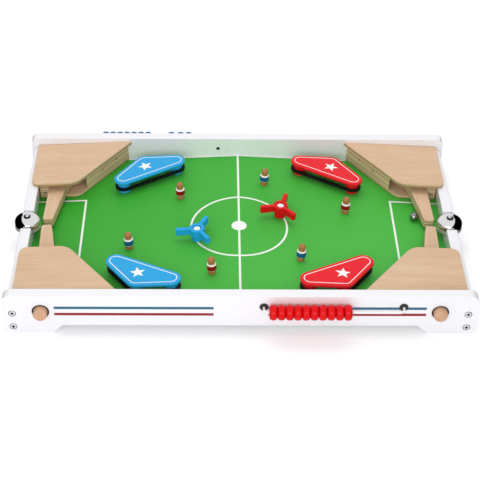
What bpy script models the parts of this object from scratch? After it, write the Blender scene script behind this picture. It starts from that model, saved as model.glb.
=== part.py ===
"""A tabletop football pinball game.

Two long white rails carry a green playfield that falls from a crest across its middle to a goal at
each end. Four push buttons work four wooden flippers, which are housed in the corners. Metres, +Z up,
+X along the long rails, the origin on the floor under the middle of the game.
"""

import math

import bmesh
import bpy
from mathutils import Matrix, Vector

# Frame
RAIL_LENGTH = 0.600
RAIL_HEIGHT = 0.060
RAIL_THICKNESS = 0.0145
TABLE_DEPTH = 0.370
RAIL_CORNER = 0.010
FOOT_LENGTH = 0.0625
ARCH_HEIGHT = 0.012
ARCH_RUN = 0.012
ARCH_ROUNDING = 0.006
FOOT_ROUNDING = 0.003
END_RAIL_THICKNESS = 0.0145
END_RAIL_INSET = 0.0045
END_RAIL_LIFT = 0.002
END_RAIL_ROUNDING = 0.003
GOAL_WIDTH = 0.040
GOAL_SILL_DROP = 0.001

# Playfield
CREST_HEIGHT = 0.0316
CREST_FALL = 0.0143
BOARD_THICKNESS = 0.004
GROOVE_DEPTH = 0.004

# Clearances
GAP = 0.0003
RUNNING_GAP = 0.0004
OVERRUN = 0.010

# Corner housings
COVER_SPAN = 0.1276
COVER_MOUTH_SPAN = 0.0547
COVER_DEPTH = 0.0990
COVER_LAP = 0.0075
COVER_REST = 0.0008
COVER_TOP = 0.0318
COVER_THICKNESS = 0.0054
COVER_INNER_ROUNDING = 0.025
COVER_OUTER_ROUNDING = 0.011
COVER_CHAMFER = 0.0006
BASE_INSET = 0.0055
BASE_ROUNDING = 0.014
WALL_INSET = 0.006
WALL_THICKNESS = 0.014
MOUTH_INSET = 0.0095
BASE_THICKNESS = 0.0044
STOP_LENGTH = 0.024
JOINT_OVERLAP = 0.002

# Flippers
PIVOT_FROM_END = 0.0455
PIVOT_FROM_RAIL = 0.0505
PIVOT_RADIUS = 0.003
EYE_RADIUS = 0.0073
FLIPPER_TOP = 0.018
FLIPPER_THICKNESS = 0.012
FLIPPER_TIP_GAP = 0.013
FLIPPER_WAIST_OFFSET = 0.0070
FLIPPER_WAIST_REACH = 0.040
FLIPPER_WAIST_ROUNDING = 0.030
FLIPPER_TIP_OFFSET = 0.0190
FLIPPER_TIP_WIDTH = 0.0134
FLIPPER_HEEL_REACH = 0.0294
FLIPPER_TIP_ROUNDING = 0.003
FLIPPER_ROOT_ROUNDING = 0.004
FLIPPER_CHAMFER = 0.0006
STOP_CLEARANCE = 0.0005
SWING_ROOM = 0.0208

# Return springs
SPRING_WIRE = 0.001
SPRING_PLAY = 0.001
SPRING_RISE = 0.0016
SPRING_TURNS = 2.75
SPRING_LEG = 0.022

# Push buttons
BUTTON_LEVER = 0.0168
BUTTON_RADIUS = 0.0092
BUTTON_PLAY = 0.0018
BUTTON_PROUD = 0.0095
BUTTON_EDGE = 0.0022
NOSE_RADIUS = 0.003
NOSE_LENGTH = 0.0115
COLLAR_LAP = 0.0025
COLLAR_CLEARANCE = 0.0018
COLLAR_THICKNESS = 0.004

# Bumpers: the posts' places are shares of the half pitch's length and width
BUMPER_POST_SHARES = ((0.5751, 0.5484), (0.4754, 0.7830), (0.3167, 0.7830))
BUMPER_TOP = 0.0214
BUMPER_PLATE = 0.0046
BUMPER_OVERHANG = 0.0047
BUMPER_EDGE = 0.0014
POST_RADIUS = 0.0088
BAND_WIDTH = 0.0036
BAND_LOW = 0.0064
BAND_HEIGHT = 0.0038
BAND_EDGE = 0.0011

# Spinners
SPINNER_PLACE_SHARES = (0.2011, 0.1543)
SPINNER_TOP = 0.0190
SPINNER_ARM_HEIGHT = 0.0097
SPINNER_HUB_RADIUS = 0.0103
SPINNER_COLLAR_RADIUS = 0.0076
SPINNER_REACH = 0.0285
SPINNER_ARM_WIDTH = 0.0052
SPINNER_TIP_WIDTH = 0.0066
SPINNER_TIP_ROUNDING = 0.0018
SPINNER_RECESS_RADIUS = 0.0057
SPINNER_RECESS_DEPTH = 0.0042
SPINNER_ANGLES = {"red": 72.0, "blue": 63.0}
SCREW_RADIUS = 0.0022
SCREW_HEAD_RADIUS = 0.0048
SCREW_HEAD_HEIGHT = 0.0026
SCREW_CROWN = 0.0007

# Players, turned pegs: the red ones' places, and the blue ones stand opposite
RED_PLAYER_SHARES = ((-0.2893, 0.4088), (0.5285, 0.2405), (-0.1306, -0.5918))
PEG_FOOT_RADIUS = 0.0049
PEG_FOOT_HEIGHT = 0.0066
PEG_BODY_RADIUS = 0.0066
PEG_BODY_HEIGHT = 0.0102
PEG_EDGE = 0.0009
PEG_NECK_RADIUS = 0.0046
PEG_HEAD_RADIUS = 0.0047
PEG_HEAD_CENTRE = 0.0215

# Bells
BELL_RADIUS = 0.0175
BELL_RIM = 0.0288
BELL_CROWN = 0.0456
BELL_SHOULDER = 0.0112
BELL_FULLNESS = 3.2
BELL_WALL = 0.0012
BELL_POST_RADIUS = 0.0022
BELL_SEAT_RADIUS = 0.0050
BELL_SEAT_HEIGHT = 0.0025
BELL_NUT_RADIUS = 0.0038
BELL_NUT_HEIGHT = 0.0026
BELL_STUD_RADIUS = 0.0018
BELL_STUD_PROUD = 0.0012
BELL_FOOT_RADIUS = 0.0060
BELL_FOOT_HEIGHT = 0.0020

# Score counters
ROD_RADIUS = 0.0015
ROD_HEIGHT = 0.0435
ROD_FROM_BUTTON = 0.0471
ROD_SPAN = 0.1764
ROD_CLEARANCE = 0.001
ROD_BEND = 0.006
BEAD_RADIUS = 0.010
BEAD_WIDTH = 0.0103
BEAD_ROUNDING = 0.0038
JOINED_BEADS = 6
RED_BEAD_GAPS = (0.0, 0.0, 0.0, 0.0)
BLUE_BEAD_GAPS = (0.0, 0.0236, 0.0027, 0.0013)

# Ball
BALL_RADIUS = 0.0063
BALL_ROW = 0.0293

# Facets of a turned piece, a large bore, a small one and a rounded corner
TURNED_STEPS = 16
FINE_STEPS = 24
BORE_STEPS = 12
ARC_STEPS = 3

# Sizes that follow from the ones above
RAIL_MIDDLE = (TABLE_DEPTH - RAIL_THICKNESS) / 2
INNER_FACE = TABLE_DEPTH / 2 - RAIL_THICKNESS
END_OUTER = RAIL_LENGTH / 2 - END_RAIL_INSET
END_INNER = END_OUTER - END_RAIL_THICKNESS
END_MIDDLE = (END_OUTER + END_INNER) / 2
TILT = math.atan2(CREST_FALL, END_INNER)
COVER_TIP = END_INNER - COVER_SPAN
COVER_CORNER = END_INNER - COVER_MOUTH_SPAN
COVER_MOUTH = INNER_FACE - COVER_DEPTH
COVER_OUTER = END_INNER + COVER_LAP
BOARD_END_HEIGHT = CREST_HEIGHT - CREST_FALL
GOAL_SILL = BOARD_END_HEIGHT - GOAL_SILL_DROP
HOUSING_BACK = INNER_FACE - GAP
COVER_UNDERSIDE = COVER_TOP - COVER_THICKNESS
BASE_TOP = GAP + BASE_THICKNESS
BASE_MOUTH = COVER_MOUTH + MOUTH_INSET
STOP_BACK = (END_INNER - GAP - COVER_UNDERSIDE * math.sin(TILT)) / math.cos(TILT)
PIVOT_OUT = END_INNER - PIVOT_FROM_END
PIVOT_IN = INNER_FACE - PIVOT_FROM_RAIL
WALL_END = PIVOT_OUT - SWING_ROOM
HEEL = PIVOT_IN + EYE_RADIUS
FLIPPER_TIP = FLIPPER_TIP_GAP / 2
FLIPPER_WAIST = (PIVOT_OUT + FLIPPER_WAIST_OFFSET, PIVOT_IN - FLIPPER_WAIST_REACH)
FLIPPER_TIP_INNER = PIVOT_OUT + FLIPPER_TIP_OFFSET
FLIPPER_TIP_OUTER = FLIPPER_TIP_INNER + FLIPPER_TIP_WIDTH
FLIPPER_ROOT_OUTER = PIVOT_OUT + FLIPPER_HEEL_REACH
BUTTON_PLACE = PIVOT_OUT + BUTTON_LEVER
BUTTON_HOLE_RADIUS = BUTTON_RADIUS + BUTTON_PLAY
SPRING_RADIUS = PIVOT_RADIUS + SPRING_PLAY + SPRING_WIRE / 2
BUMPER_POSTS = [(END_INNER * x, INNER_FACE * y) for x, y in BUMPER_POST_SHARES]
SPINNER_PLACE = (END_INNER * SPINNER_PLACE_SHARES[0], INNER_FACE * SPINNER_PLACE_SHARES[1])
RED_PLAYERS = [(END_INNER * x, INNER_FACE * y) for x, y in RED_PLAYER_SHARES]
ROD_FAR = BUTTON_PLACE - ROD_FROM_BUTTON
ROD_NEAR = ROD_FAR - ROD_SPAN
BEAD_BORE = ROD_RADIUS + RUNNING_GAP
ROD_PROUD = BEAD_RADIUS + ROD_CLEARANCE
ROD_RUN = TABLE_DEPTH / 2 + ROD_PROUD


def over_pitch(column, height):
    """The height above the floor of a point that is some way above the playfield."""
    return CREST_HEIGHT - column * math.tan(TILT) + height / math.cos(TILT)


END_RAIL_TOP = over_pitch(COVER_OUTER, COVER_UNDERSIDE) - COVER_REST
BUTTON_HEIGHT = over_pitch(BUTTON_PLACE, (BASE_TOP + COVER_UNDERSIDE) / 2)

CORNERS = {"rear_left": (-1, 1), "rear_right": (1, 1), "front_left": (-1, -1), "front_right": (1, -1)}
TEAMS = {-1: "blue", 1: "red"}


def clear_scene():
    for obj in list(bpy.data.objects):
        bpy.data.objects.remove(obj, do_unlink=True)


def new_collection(name):
    made = bpy.data.collections.new(name)
    bpy.context.scene.collection.children.link(made)
    return made


def new_material(name, colour, roughness, metallic=0.0):
    made = bpy.data.materials.new(name)
    made.use_nodes = True
    shader = made.node_tree.nodes["Principled BSDF"]
    shader.inputs["Base Color"].default_value = (*colour, 1.0)
    shader.inputs["Roughness"].default_value = roughness
    shader.inputs["Metallic"].default_value = metallic
    return made


clear_scene()
GAME = new_collection("tabletop_football_pinball")
CUTTERS = new_collection("cutters")
WHITE = new_material("white_lacquer", (0.90, 0.91, 0.94), 0.35)
GREEN = new_material("green_pitch", (0.08, 0.47, 0.08), 0.45)
BEECH = new_material("beech_plywood", (0.72, 0.51, 0.34), 0.55)
DOWEL = new_material("beech_dowel", (0.66, 0.42, 0.26), 0.50)
STEEL = new_material("polished_steel", (0.80, 0.80, 0.82), 0.15, 1.0)
RUBBER = new_material("black_rubber", (0.01, 0.01, 0.012), 0.60)
PAINT = {
    "red": new_material("red_paint", (0.80, 0.02, 0.04), 0.30),
    "blue": new_material("blue_paint", (0.04, 0.40, 0.80), 0.30),
}
ROD_WHITE = new_material("white_coated_wire", (0.88, 0.88, 0.88), 0.30)


def as_mesh(shape):
    """The evaluated shape as a plain mesh object of the same name, with its doubles merged."""
    CUTTERS.objects.link(shape)
    bpy.context.view_layer.update()
    graph = bpy.context.evaluated_depsgraph_get()
    mesh = bpy.data.meshes.new_from_object(shape.evaluated_get(graph))
    mesh.transform(shape.matrix_world)
    name = shape.name
    bpy.data.objects.remove(shape, do_unlink=True)
    work = bmesh.new()
    work.from_mesh(mesh)
    bmesh.ops.remove_doubles(work, verts=work.verts, dist=GAP / 100)
    bmesh.ops.recalc_face_normals(work, faces=work.faces)
    work.to_mesh(mesh)
    work.free()
    mesh.name = name
    return bpy.data.objects.new(name, mesh)


def slab(name, outlines, low, high):
    """A flat piece between two heights: the first outline is its edge, and the others are its holes."""
    curve = bpy.data.curves.new(name, "CURVE")
    curve.dimensions = "2D"
    curve.fill_mode = "BOTH"
    curve.extrude = (high - low) / 2
    for outline in outlines:
        spline = curve.splines.new("POLY")
        spline.points.add(len(outline) - 1)
        for point, place in zip(spline.points, outline):
            point.co = (place[0], place[1], 0.0, 1.0)
        spline.use_cyclic_u = True
    shape = bpy.data.objects.new(name, curve)
    shape.location.z = (low + high) / 2
    made = as_mesh(shape)
    flat = bmesh.new()
    flat.from_mesh(made.data)
    bmesh.ops.dissolve_limit(flat, angle_limit=math.radians(0.5), verts=flat.verts, edges=flat.edges)
    flat.to_mesh(made.data)
    flat.free()
    return made


def turned(name, profile, steps=TURNED_STEPS, ring=False):
    """A turned piece about Z from (radius, height) points that run down its outer side."""
    mesh = bpy.data.meshes.new(name)
    count = len(profile)
    edges = [(i, i + 1) for i in range(count - 1)]
    if ring:
        edges.append((count - 1, 0))
    mesh.from_pydata([(radius, 0.0, height) for radius, height in profile], edges, [])
    shape = bpy.data.objects.new(name, mesh)
    screw = shape.modifiers.new("turn", "SCREW")
    screw.steps = steps
    screw.render_steps = steps
    screw.use_merge_vertices = True
    screw.merge_threshold = GAP / 100
    made = as_mesh(shape)
    made.data.shade_smooth()
    made.data.set_sharp_from_angle(angle=math.radians(35))
    return made


def wire(name, points, radius):
    curve = bpy.data.curves.new(name, "CURVE")
    curve.dimensions = "3D"
    curve.bevel_depth = radius
    curve.bevel_resolution = 1
    curve.use_fill_caps = True
    spline = curve.splines.new("POLY")
    spline.points.add(len(points) - 1)
    for point, place in zip(spline.points, points):
        point.co = (*place, 1.0)
    made = as_mesh(bpy.data.objects.new(name, curve))
    made.data.shade_smooth()
    made.data.set_sharp_from_angle(angle=math.radians(60))
    return made


def block(name, low, high):
    """A box between two corners."""
    mesh = bpy.data.meshes.new(name)
    work = bmesh.new()
    bmesh.ops.create_cube(work, size=1.0)
    bmesh.ops.scale(work, vec=Vector(high) - Vector(low), verts=work.verts)
    bmesh.ops.translate(work, vec=(Vector(high) + Vector(low)) / 2, verts=work.verts)
    work.to_mesh(mesh)
    work.free()
    return bpy.data.objects.new(name, mesh)


def finish(obj, material, parent=None, location=(0.0, 0.0, 0.0)):
    """Puts a finished piece in the game's collection, under the frame that carries it."""
    obj.data.materials.clear()
    obj.data.materials.append(material)
    obj.parent = parent
    obj.location = location
    GAME.objects.link(obj)
    return obj


def combine(obj, tool, operation):
    """Joins a tool to a piece or cuts it away. Both are in the piece's own frame."""
    tool.parent = obj
    tool.hide_render = True
    tool.display_type = "WIRE"
    CUTTERS.objects.link(tool)
    step = obj.modifiers.new(operation.lower() + "_" + tool.name, "BOOLEAN")
    step.operation = operation
    step.solver = "EXACT"
    step.object = tool


def soften(obj, width, segments=1):
    edge = obj.modifiers.new("soft_edges", "BEVEL")
    edge.width = width
    edge.segments = segments
    edge.limit_method = "ANGLE"
    edge.angle_limit = math.radians(40)


def arc(centre, radius, start, sweep, steps=ARC_STEPS):
    """Points from one angle round to another about a centre."""
    return [
        (
            centre[0] + radius * math.cos(start + sweep * i / steps),
            centre[1] + radius * math.sin(start + sweep * i / steps),
        )
        for i in range(steps + 1)
    ]


def circle(centre, radius, steps=TURNED_STEPS):
    return arc(centre, radius, 0.0, math.tau, steps)[:-1]


def rounded(corners, steps=ARC_STEPS):
    """A closed outline from (x, y, rounding) corners, where a rounding of 0 leaves a corner sharp."""
    points = []
    for i, (x, y, rounding) in enumerate(corners):
        here = Vector((x, y))
        if not rounding:
            points.append((x, y))
            continue
        back = (Vector(corners[i - 1][:2]) - here).normalized()
        onward = (Vector(corners[(i + 1) % len(corners)][:2]) - here).normalized()
        half = back.angle(onward) / 2
        centre = here + (back + onward).normalized() * (rounding / math.sin(half))
        first = here + back * (rounding / math.tan(half)) - centre
        last = here + onward * (rounding / math.tan(half)) - centre
        sweep = math.atan2(first.x * last.y - first.y * last.x, first.dot(last))
        points += arc(centre, rounding, math.atan2(first.y, first.x), sweep, steps)
    return points


def belt(centres, radius, steps=ARC_STEPS):
    """The outline of a belt round equal circles, whose centres run anticlockwise."""
    points = []
    for i, centre in enumerate(centres):
        here = Vector(centre)
        back = here - Vector(centres[i - 1])
        onward = Vector(centres[(i + 1) % len(centres)]) - here
        sweep = math.atan2(back.x * onward.y - back.y * onward.x, back.dot(onward))
        points += arc(centre, radius, math.atan2(-back.x, back.y), sweep, steps)
    return points


def mirrored(points, across, along):
    """Points of one corner of the game, as they lie in another."""
    return [(point[0] * across, point[1] * along, *point[2:]) for point in points]


def slant_point(inset, row=None, column=None):
    """Where a line parallel to the cover's slanted edge, and inside it, meets a row or a column."""
    start = Vector((COVER_TIP, HOUSING_BACK))
    course = (Vector((COVER_CORNER, COVER_MOUTH)) - start).normalized()
    start = start + Vector((-course.y, course.x)) * inset
    if row is not None:
        reach = (row - start.y) / course.y
    else:
        reach = (column - start.x) / course.x
    return tuple(start + course * reach)


def make_half(name, side):
    """The frame of one half of the playfield: X along the slope, Z square to it, origin on the crest."""
    half = bpy.data.objects.new(name, None)
    half.location = (0.0, 0.0, CREST_HEIGHT)
    half.rotation_euler = (0.0, side * TILT, 0.0)
    GAME.objects.link(half)
    return half


HALVES = {-1: make_half("left_half", -1), 1: make_half("right_half", 1)}


def peaked_outline(clearance):
    """The playfield's section, or with a clearance the groove that takes it."""
    end = END_INNER - GAP + clearance
    rise = clearance + BOARD_THICKNESS / 2
    middle = BOARD_THICKNESS / 2
    crest = ((-end, BOARD_END_HEIGHT), (0.0, CREST_HEIGHT), (end, BOARD_END_HEIGHT))
    upper = [(x, z - middle + rise) for x, z in crest]
    lower = [(x, z - 2 * rise) for x, z in reversed(upper)]
    return upper + lower


def make_long_rail(name, side):
    """A long rail: a board with two feet, holes for two buttons and for the score rod's ends."""
    half = RAIL_LENGTH / 2
    foot = half - FOOT_LENGTH
    arch = foot - ARCH_RUN
    outline = rounded(
        [
            (-half, 0.0, FOOT_ROUNDING),
            (-foot, 0.0, FOOT_ROUNDING),
            (-arch, ARCH_HEIGHT, ARCH_ROUNDING),
            (arch, ARCH_HEIGHT, ARCH_ROUNDING),
            (foot, 0.0, FOOT_ROUNDING),
            (half, 0.0, FOOT_ROUNDING),
            (half, RAIL_HEIGHT, RAIL_CORNER),
            (-half, RAIL_HEIGHT, RAIL_CORNER),
        ]
    )
    holes = []
    for hand in (-1, 1):
        holes.append(circle((hand * BUTTON_PLACE, BUTTON_HEIGHT), BUTTON_HOLE_RADIUS, FINE_STEPS))
    for column in (ROD_NEAR, ROD_FAR):
        holes.append(circle((-side * column, ROD_HEIGHT), ROD_RADIUS + GAP, BORE_STEPS))
    rail = slab(name, [outline, *holes], -RAIL_THICKNESS / 2, RAIL_THICKNESS / 2)
    rail.data.transform(Matrix.Rotation(math.pi / 2, 4, "X"))
    groove_low = INNER_FACE - OVERRUN
    groove_high = INNER_FACE + GROOVE_DEPTH
    groove = slab(name + "_groove", [peaked_outline(GAP)], groove_low, groove_high)
    groove.data.transform(Matrix.Rotation(math.pi / 2, 4, "X"))
    if side > 0:
        groove.data.transform(Matrix.Rotation(math.pi, 4, "Z"))
    groove.data.transform(Matrix.Translation((0.0, -side * RAIL_MIDDLE, 0.0)))
    combine(rail, groove, "DIFFERENCE")
    finish(rail, WHITE, location=(0.0, side * RAIL_MIDDLE, 0.0))


def make_end_rail(name, side):
    """An end rail between the long ones, with a gap down to the playfield for the goal."""
    half = INNER_FACE - GAP
    goal = GOAL_WIDTH / 2
    outline = rounded(
        [
            (-half, END_RAIL_LIFT, 0.0),
            (half, END_RAIL_LIFT, 0.0),
            (half, END_RAIL_TOP, 0.0),
            (goal, END_RAIL_TOP, END_RAIL_ROUNDING),
            (goal, GOAL_SILL, END_RAIL_ROUNDING),
            (-goal, GOAL_SILL, END_RAIL_ROUNDING),
            (-goal, END_RAIL_TOP, END_RAIL_ROUNDING),
            (-half, END_RAIL_TOP, 0.0),
        ]
    )
    rail = slab(name, [outline], -END_RAIL_THICKNESS / 2, END_RAIL_THICKNESS / 2)
    rail.data.transform(Matrix.Rotation(math.pi / 2, 4, "Z") @ Matrix.Rotation(math.pi / 2, 4, "X"))
    finish(rail, WHITE, location=(side * END_MIDDLE, 0.0, 0.0))


def make_playfield():
    """The peaked board, let into grooves in the long rails and drilled for the two spinner screws."""
    reach = INNER_FACE + GROOVE_DEPTH - GAP
    board = slab("playfield", [peaked_outline(0.0)], -reach, reach)
    board.data.transform(Matrix.Rotation(math.pi / 2, 4, "X"))
    for side in (-1, 1):
        hole = circle((0.0, 0.0), SCREW_RADIUS + GAP, BORE_STEPS)
        drill = slab("screw_hole_" + TEAMS[side], [hole], -OVERRUN, OVERRUN)
        place = Matrix.Translation((0.0, 0.0, CREST_HEIGHT)) @ Matrix.Rotation(side * TILT, 4, "Y")
        middle = Matrix.Translation((side * SPINNER_PLACE[0], side * SPINNER_PLACE[1], 0.0))
        drill.data.transform(place @ middle)
        combine(board, drill, "DIFFERENCE")
    finish(board, GREEN)


def make_cover(corner, across, along):
    outline = rounded(
        [
            (COVER_TIP, HOUSING_BACK, 0.0),
            (COVER_CORNER, COVER_MOUTH, COVER_INNER_ROUNDING),
            (COVER_OUTER, COVER_MOUTH, COVER_OUTER_ROUNDING),
            (COVER_OUTER, HOUSING_BACK, 0.0),
        ],
        6,
    )
    cover = slab("cover_" + corner, [mirrored(outline, across, along)], COVER_UNDERSIDE, COVER_TOP)
    soften(cover, COVER_CHAMFER)
    finish(cover, BEECH, HALVES[across])


def flipper_outer_edge(row):
    """The column of the flipper's outer edge at a row."""
    share = (HEEL - row) / (HEEL - FLIPPER_TIP)
    return FLIPPER_ROOT_OUTER + (FLIPPER_TIP_OUTER - FLIPPER_ROOT_OUTER) * share


def make_housing(corner, across, along):
    """The base plate with its slanted wall, the flipper's stop and the pivot dowel glued to it."""
    stop_front = flipper_outer_edge(BASE_MOUTH) + STOP_CLEARANCE
    base_outline = rounded(
        [
            (*slant_point(BASE_INSET, row=HOUSING_BACK), 0.0),
            (*slant_point(BASE_INSET, row=BASE_MOUTH), BASE_ROUNDING),
            (STOP_BACK, BASE_MOUTH, 0.0),
            (STOP_BACK, HOUSING_BACK, 0.0),
        ],
        6,
    )
    wall_outline = [
        slant_point(WALL_INSET, row=HOUSING_BACK),
        slant_point(WALL_INSET, column=WALL_END),
        slant_point(WALL_INSET + WALL_THICKNESS, column=WALL_END),
        slant_point(WALL_INSET + WALL_THICKNESS, row=HOUSING_BACK),
    ]
    stop_outline = [
        (stop_front, BASE_MOUTH),
        (STOP_BACK, BASE_MOUTH),
        (STOP_BACK, BASE_MOUTH + STOP_LENGTH),
        (stop_front, BASE_MOUTH + STOP_LENGTH),
    ]
    pivot_outline = circle((PIVOT_OUT, PIVOT_IN), PIVOT_RADIUS, BORE_STEPS)
    foot = BASE_TOP - JOINT_OVERLAP
    top = COVER_UNDERSIDE - GAP
    base = slab("housing_" + corner, [mirrored(base_outline, across, along)], GAP, BASE_TOP)
    for name, outline in (("wall", wall_outline), ("stop", stop_outline), ("pivot", pivot_outline)):
        piece = slab(name + "_" + corner, [mirrored(outline, across, along)], foot, top)
        combine(base, piece, "UNION")
    finish(base, BEECH, HALVES[across])


def make_flipper(corner, across, along):
    """A tapered bat with a narrow neck, whose eye is on the pivot dowel. Its origin is on the pivot."""
    neck = Vector(FLIPPER_WAIST) - Vector((PIVOT_OUT, PIVOT_IN))
    tangent = math.atan2(neck.y, neck.x) - math.acos(-EYE_RADIUS / neck.length)
    eye = arc((PIVOT_OUT, PIVOT_IN), EYE_RADIUS, math.pi / 2, math.tau + tangent - math.pi / 2, 6)
    tip = rounded(
        [
            (*eye[-1], 0.0),
            (*FLIPPER_WAIST, FLIPPER_WAIST_ROUNDING),
            (FLIPPER_TIP_INNER, FLIPPER_TIP, FLIPPER_TIP_ROUNDING),
            (FLIPPER_TIP_OUTER, FLIPPER_TIP, FLIPPER_TIP_ROUNDING),
            (FLIPPER_ROOT_OUTER, HEEL, FLIPPER_ROOT_ROUNDING),
        ]
    )[1:]
    bore = circle((PIVOT_OUT, PIVOT_IN), PIVOT_RADIUS + RUNNING_GAP, BORE_STEPS)
    outlines = [mirrored(points, across, along) for points in (eye + tip, bore)]
    bat = slab("flipper_" + corner, outlines, FLIPPER_TOP - FLIPPER_THICKNESS, FLIPPER_TOP)
    pivot = Vector((across * PIVOT_OUT, along * PIVOT_IN, 0.0))
    bat.data.transform(Matrix.Translation(-pivot))
    soften(bat, FLIPPER_CHAMFER)
    finish(bat, BEECH, HALVES[across], pivot)


def make_spring(corner, across, along):
    """The torsion spring that swings a flipper home, wound round the pivot between its two legs."""
    turn_steps = 8
    steps = round(SPRING_TURNS * turn_steps)
    low = FLIPPER_TOP + RUNNING_GAP + SPRING_WIRE / 2
    coil = []
    for i in range(steps + 1):
        angle = math.pi - math.tau * i / turn_steps
        height = low + SPRING_RISE * i / turn_steps
        coil.append((SPRING_RADIUS * math.cos(angle), SPRING_RADIUS * math.sin(angle), height))
    lower_leg = (0.0, -SPRING_LEG, coil[0][2])
    upper_leg = (GAP - SWING_ROOM, coil[-1][1], coil[-1][2])
    route = [lower_leg, *coil, upper_leg]
    points = [((PIVOT_OUT + x) * across, (PIVOT_IN + y) * along, z) for x, y, z in route]
    spring = wire("return_spring_" + corner, points, SPRING_WIRE / 2)
    finish(spring, STEEL, HALVES[across])


def make_button(corner, across, along):
    """A dowel with a rounded end, a collar that keeps it in the rail and a nose for the flipper."""
    nose = HEEL + RUNNING_GAP
    outer = TABLE_DEPTH / 2 + BUTTON_PROUD
    profile = [(0.0, outer)]
    edge_middle = (BUTTON_RADIUS - BUTTON_EDGE, outer - BUTTON_EDGE)
    profile += arc(edge_middle, BUTTON_EDGE, math.pi / 2, -math.pi / 2)
    profile.append((BUTTON_RADIUS, nose + NOSE_LENGTH))
    profile += arc((0.0, nose + NOSE_RADIUS), NOSE_RADIUS, -math.pi / 6, -math.pi / 3, 3)
    dowel = turned("push_button_" + corner, profile)
    dowel.data.transform(Matrix.Rotation(-along * math.pi / 2, 4, "X"))
    half_width = BUTTON_HOLE_RADIUS + COLLAR_LAP
    half_height = (COVER_UNDERSIDE - BASE_TOP) / 2 - COLLAR_CLEARANCE
    rows = sorted((along * HOUSING_BACK, along * (HOUSING_BACK - COLLAR_THICKNESS)))
    collar = block(
        "collar_" + corner,
        (-half_width, rows[0], -half_height),
        (half_width, rows[1], half_height),
    )
    combine(dowel, collar, "UNION")
    finish(dowel, DOWEL, location=(across * BUTTON_PLACE, 0.0, BUTTON_HEIGHT))


def make_bumper(corner, across, along):
    """A rounded triangular plate on three posts, and the rubber band stretched round the posts."""
    underside = BUMPER_TOP - BUMPER_PLATE
    plate_outline = belt(BUMPER_POSTS, POST_RADIUS + BUMPER_OVERHANG, 5)
    plate = slab("bumper_" + corner, [mirrored(plate_outline, across, along)], underside, BUMPER_TOP)
    soften(plate, BUMPER_EDGE, 2)
    for number, centre in enumerate(BUMPER_POSTS, 1):
        outline = mirrored(circle(centre, POST_RADIUS, 16), across, along)
        post = slab("post_" + corner + "_" + str(number), [outline], GAP, underside + JOINT_OVERLAP)
        combine(plate, post, "UNION")
    finish(plate, PAINT[TEAMS[across]], HALVES[across])
    inner = POST_RADIUS + GAP
    band_outlines = [
        mirrored(belt(BUMPER_POSTS, radius, steps), across, along)
        for radius, steps in ((inner + BAND_WIDTH, 5), (inner, 7))
    ]
    band = slab("bumper_band_" + corner, band_outlines, BAND_LOW, BAND_LOW + BAND_HEIGHT)
    soften(band, BAND_EDGE)
    finish(band, RUBBER, HALVES[across])


def make_spinner(team, side):
    """Three arms on a hub that turns on a screw. Its origin is on the screw's axis."""
    arm_half = SPINNER_ARM_WIDTH / 2
    tip_half = SPINNER_TIP_WIDTH / 2
    web = math.sqrt(SPINNER_HUB_RADIUS**2 - arm_half**2)
    outline = []
    for i in range(3):
        turn = Matrix.Rotation(math.radians(SPINNER_ANGLES[team]) + math.tau * i / 3, 2)
        tip = rounded(
            [
                (0.0, 0.0, 0.0),
                (web, -arm_half, 0.0),
                (SPINNER_REACH, -tip_half, SPINNER_TIP_ROUNDING),
                (SPINNER_REACH, tip_half, SPINNER_TIP_ROUNDING),
                (web, arm_half, 0.0),
            ],
            2,
        )[1:]
        spread = math.atan2(arm_half, web)
        hub = arc((0.0, 0.0), SPINNER_HUB_RADIUS, spread, math.tau / 3 - 2 * spread, 6)
        lobe = [*tip, *hub[1:-1]]
        outline += [tuple(turn @ Vector(point)) for point in lobe]
    arms = slab(team + "_spinner", [outline], SPINNER_TOP - SPINNER_ARM_HEIGHT, SPINNER_TOP)
    collar_top = SPINNER_TOP - SPINNER_ARM_HEIGHT + JOINT_OVERLAP
    collar = slab(team + "_hub_collar", [circle((0.0, 0.0), SPINNER_COLLAR_RADIUS)], RUNNING_GAP, collar_top)
    combine(arms, collar, "UNION")
    seat = SPINNER_TOP - SPINNER_RECESS_DEPTH
    bore = SCREW_RADIUS + RUNNING_GAP
    drill = turned(
        team + "_hub_drill",
        [
            (0.0, SPINNER_TOP + OVERRUN),
            (SPINNER_RECESS_RADIUS, SPINNER_TOP + OVERRUN),
            (SPINNER_RECESS_RADIUS, seat),
            (bore, seat),
            (bore, -OVERRUN),
            (0.0, -OVERRUN),
        ],
    )
    combine(arms, drill, "DIFFERENCE")
    place = (side * SPINNER_PLACE[0], side * SPINNER_PLACE[1], 0.0)
    finish(arms, PAINT[team], HALVES[side], place)
    head_low = seat + RUNNING_GAP
    head_top = head_low + SCREW_HEAD_HEIGHT
    screw = turned(
        team + "_spinner_screw",
        [
            (0.0, head_top + SCREW_CROWN),
            (SCREW_HEAD_RADIUS / 2, head_top + SCREW_CROWN / 2),
            (SCREW_HEAD_RADIUS, head_top),
            (SCREW_HEAD_RADIUS, head_low),
            (SCREW_RADIUS, head_low),
            (SCREW_RADIUS, -BOARD_THICKNESS),
            (0.0, -BOARD_THICKNESS),
        ],
        BORE_STEPS,
    )
    finish(screw, STEEL, HALVES[side], place)


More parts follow.
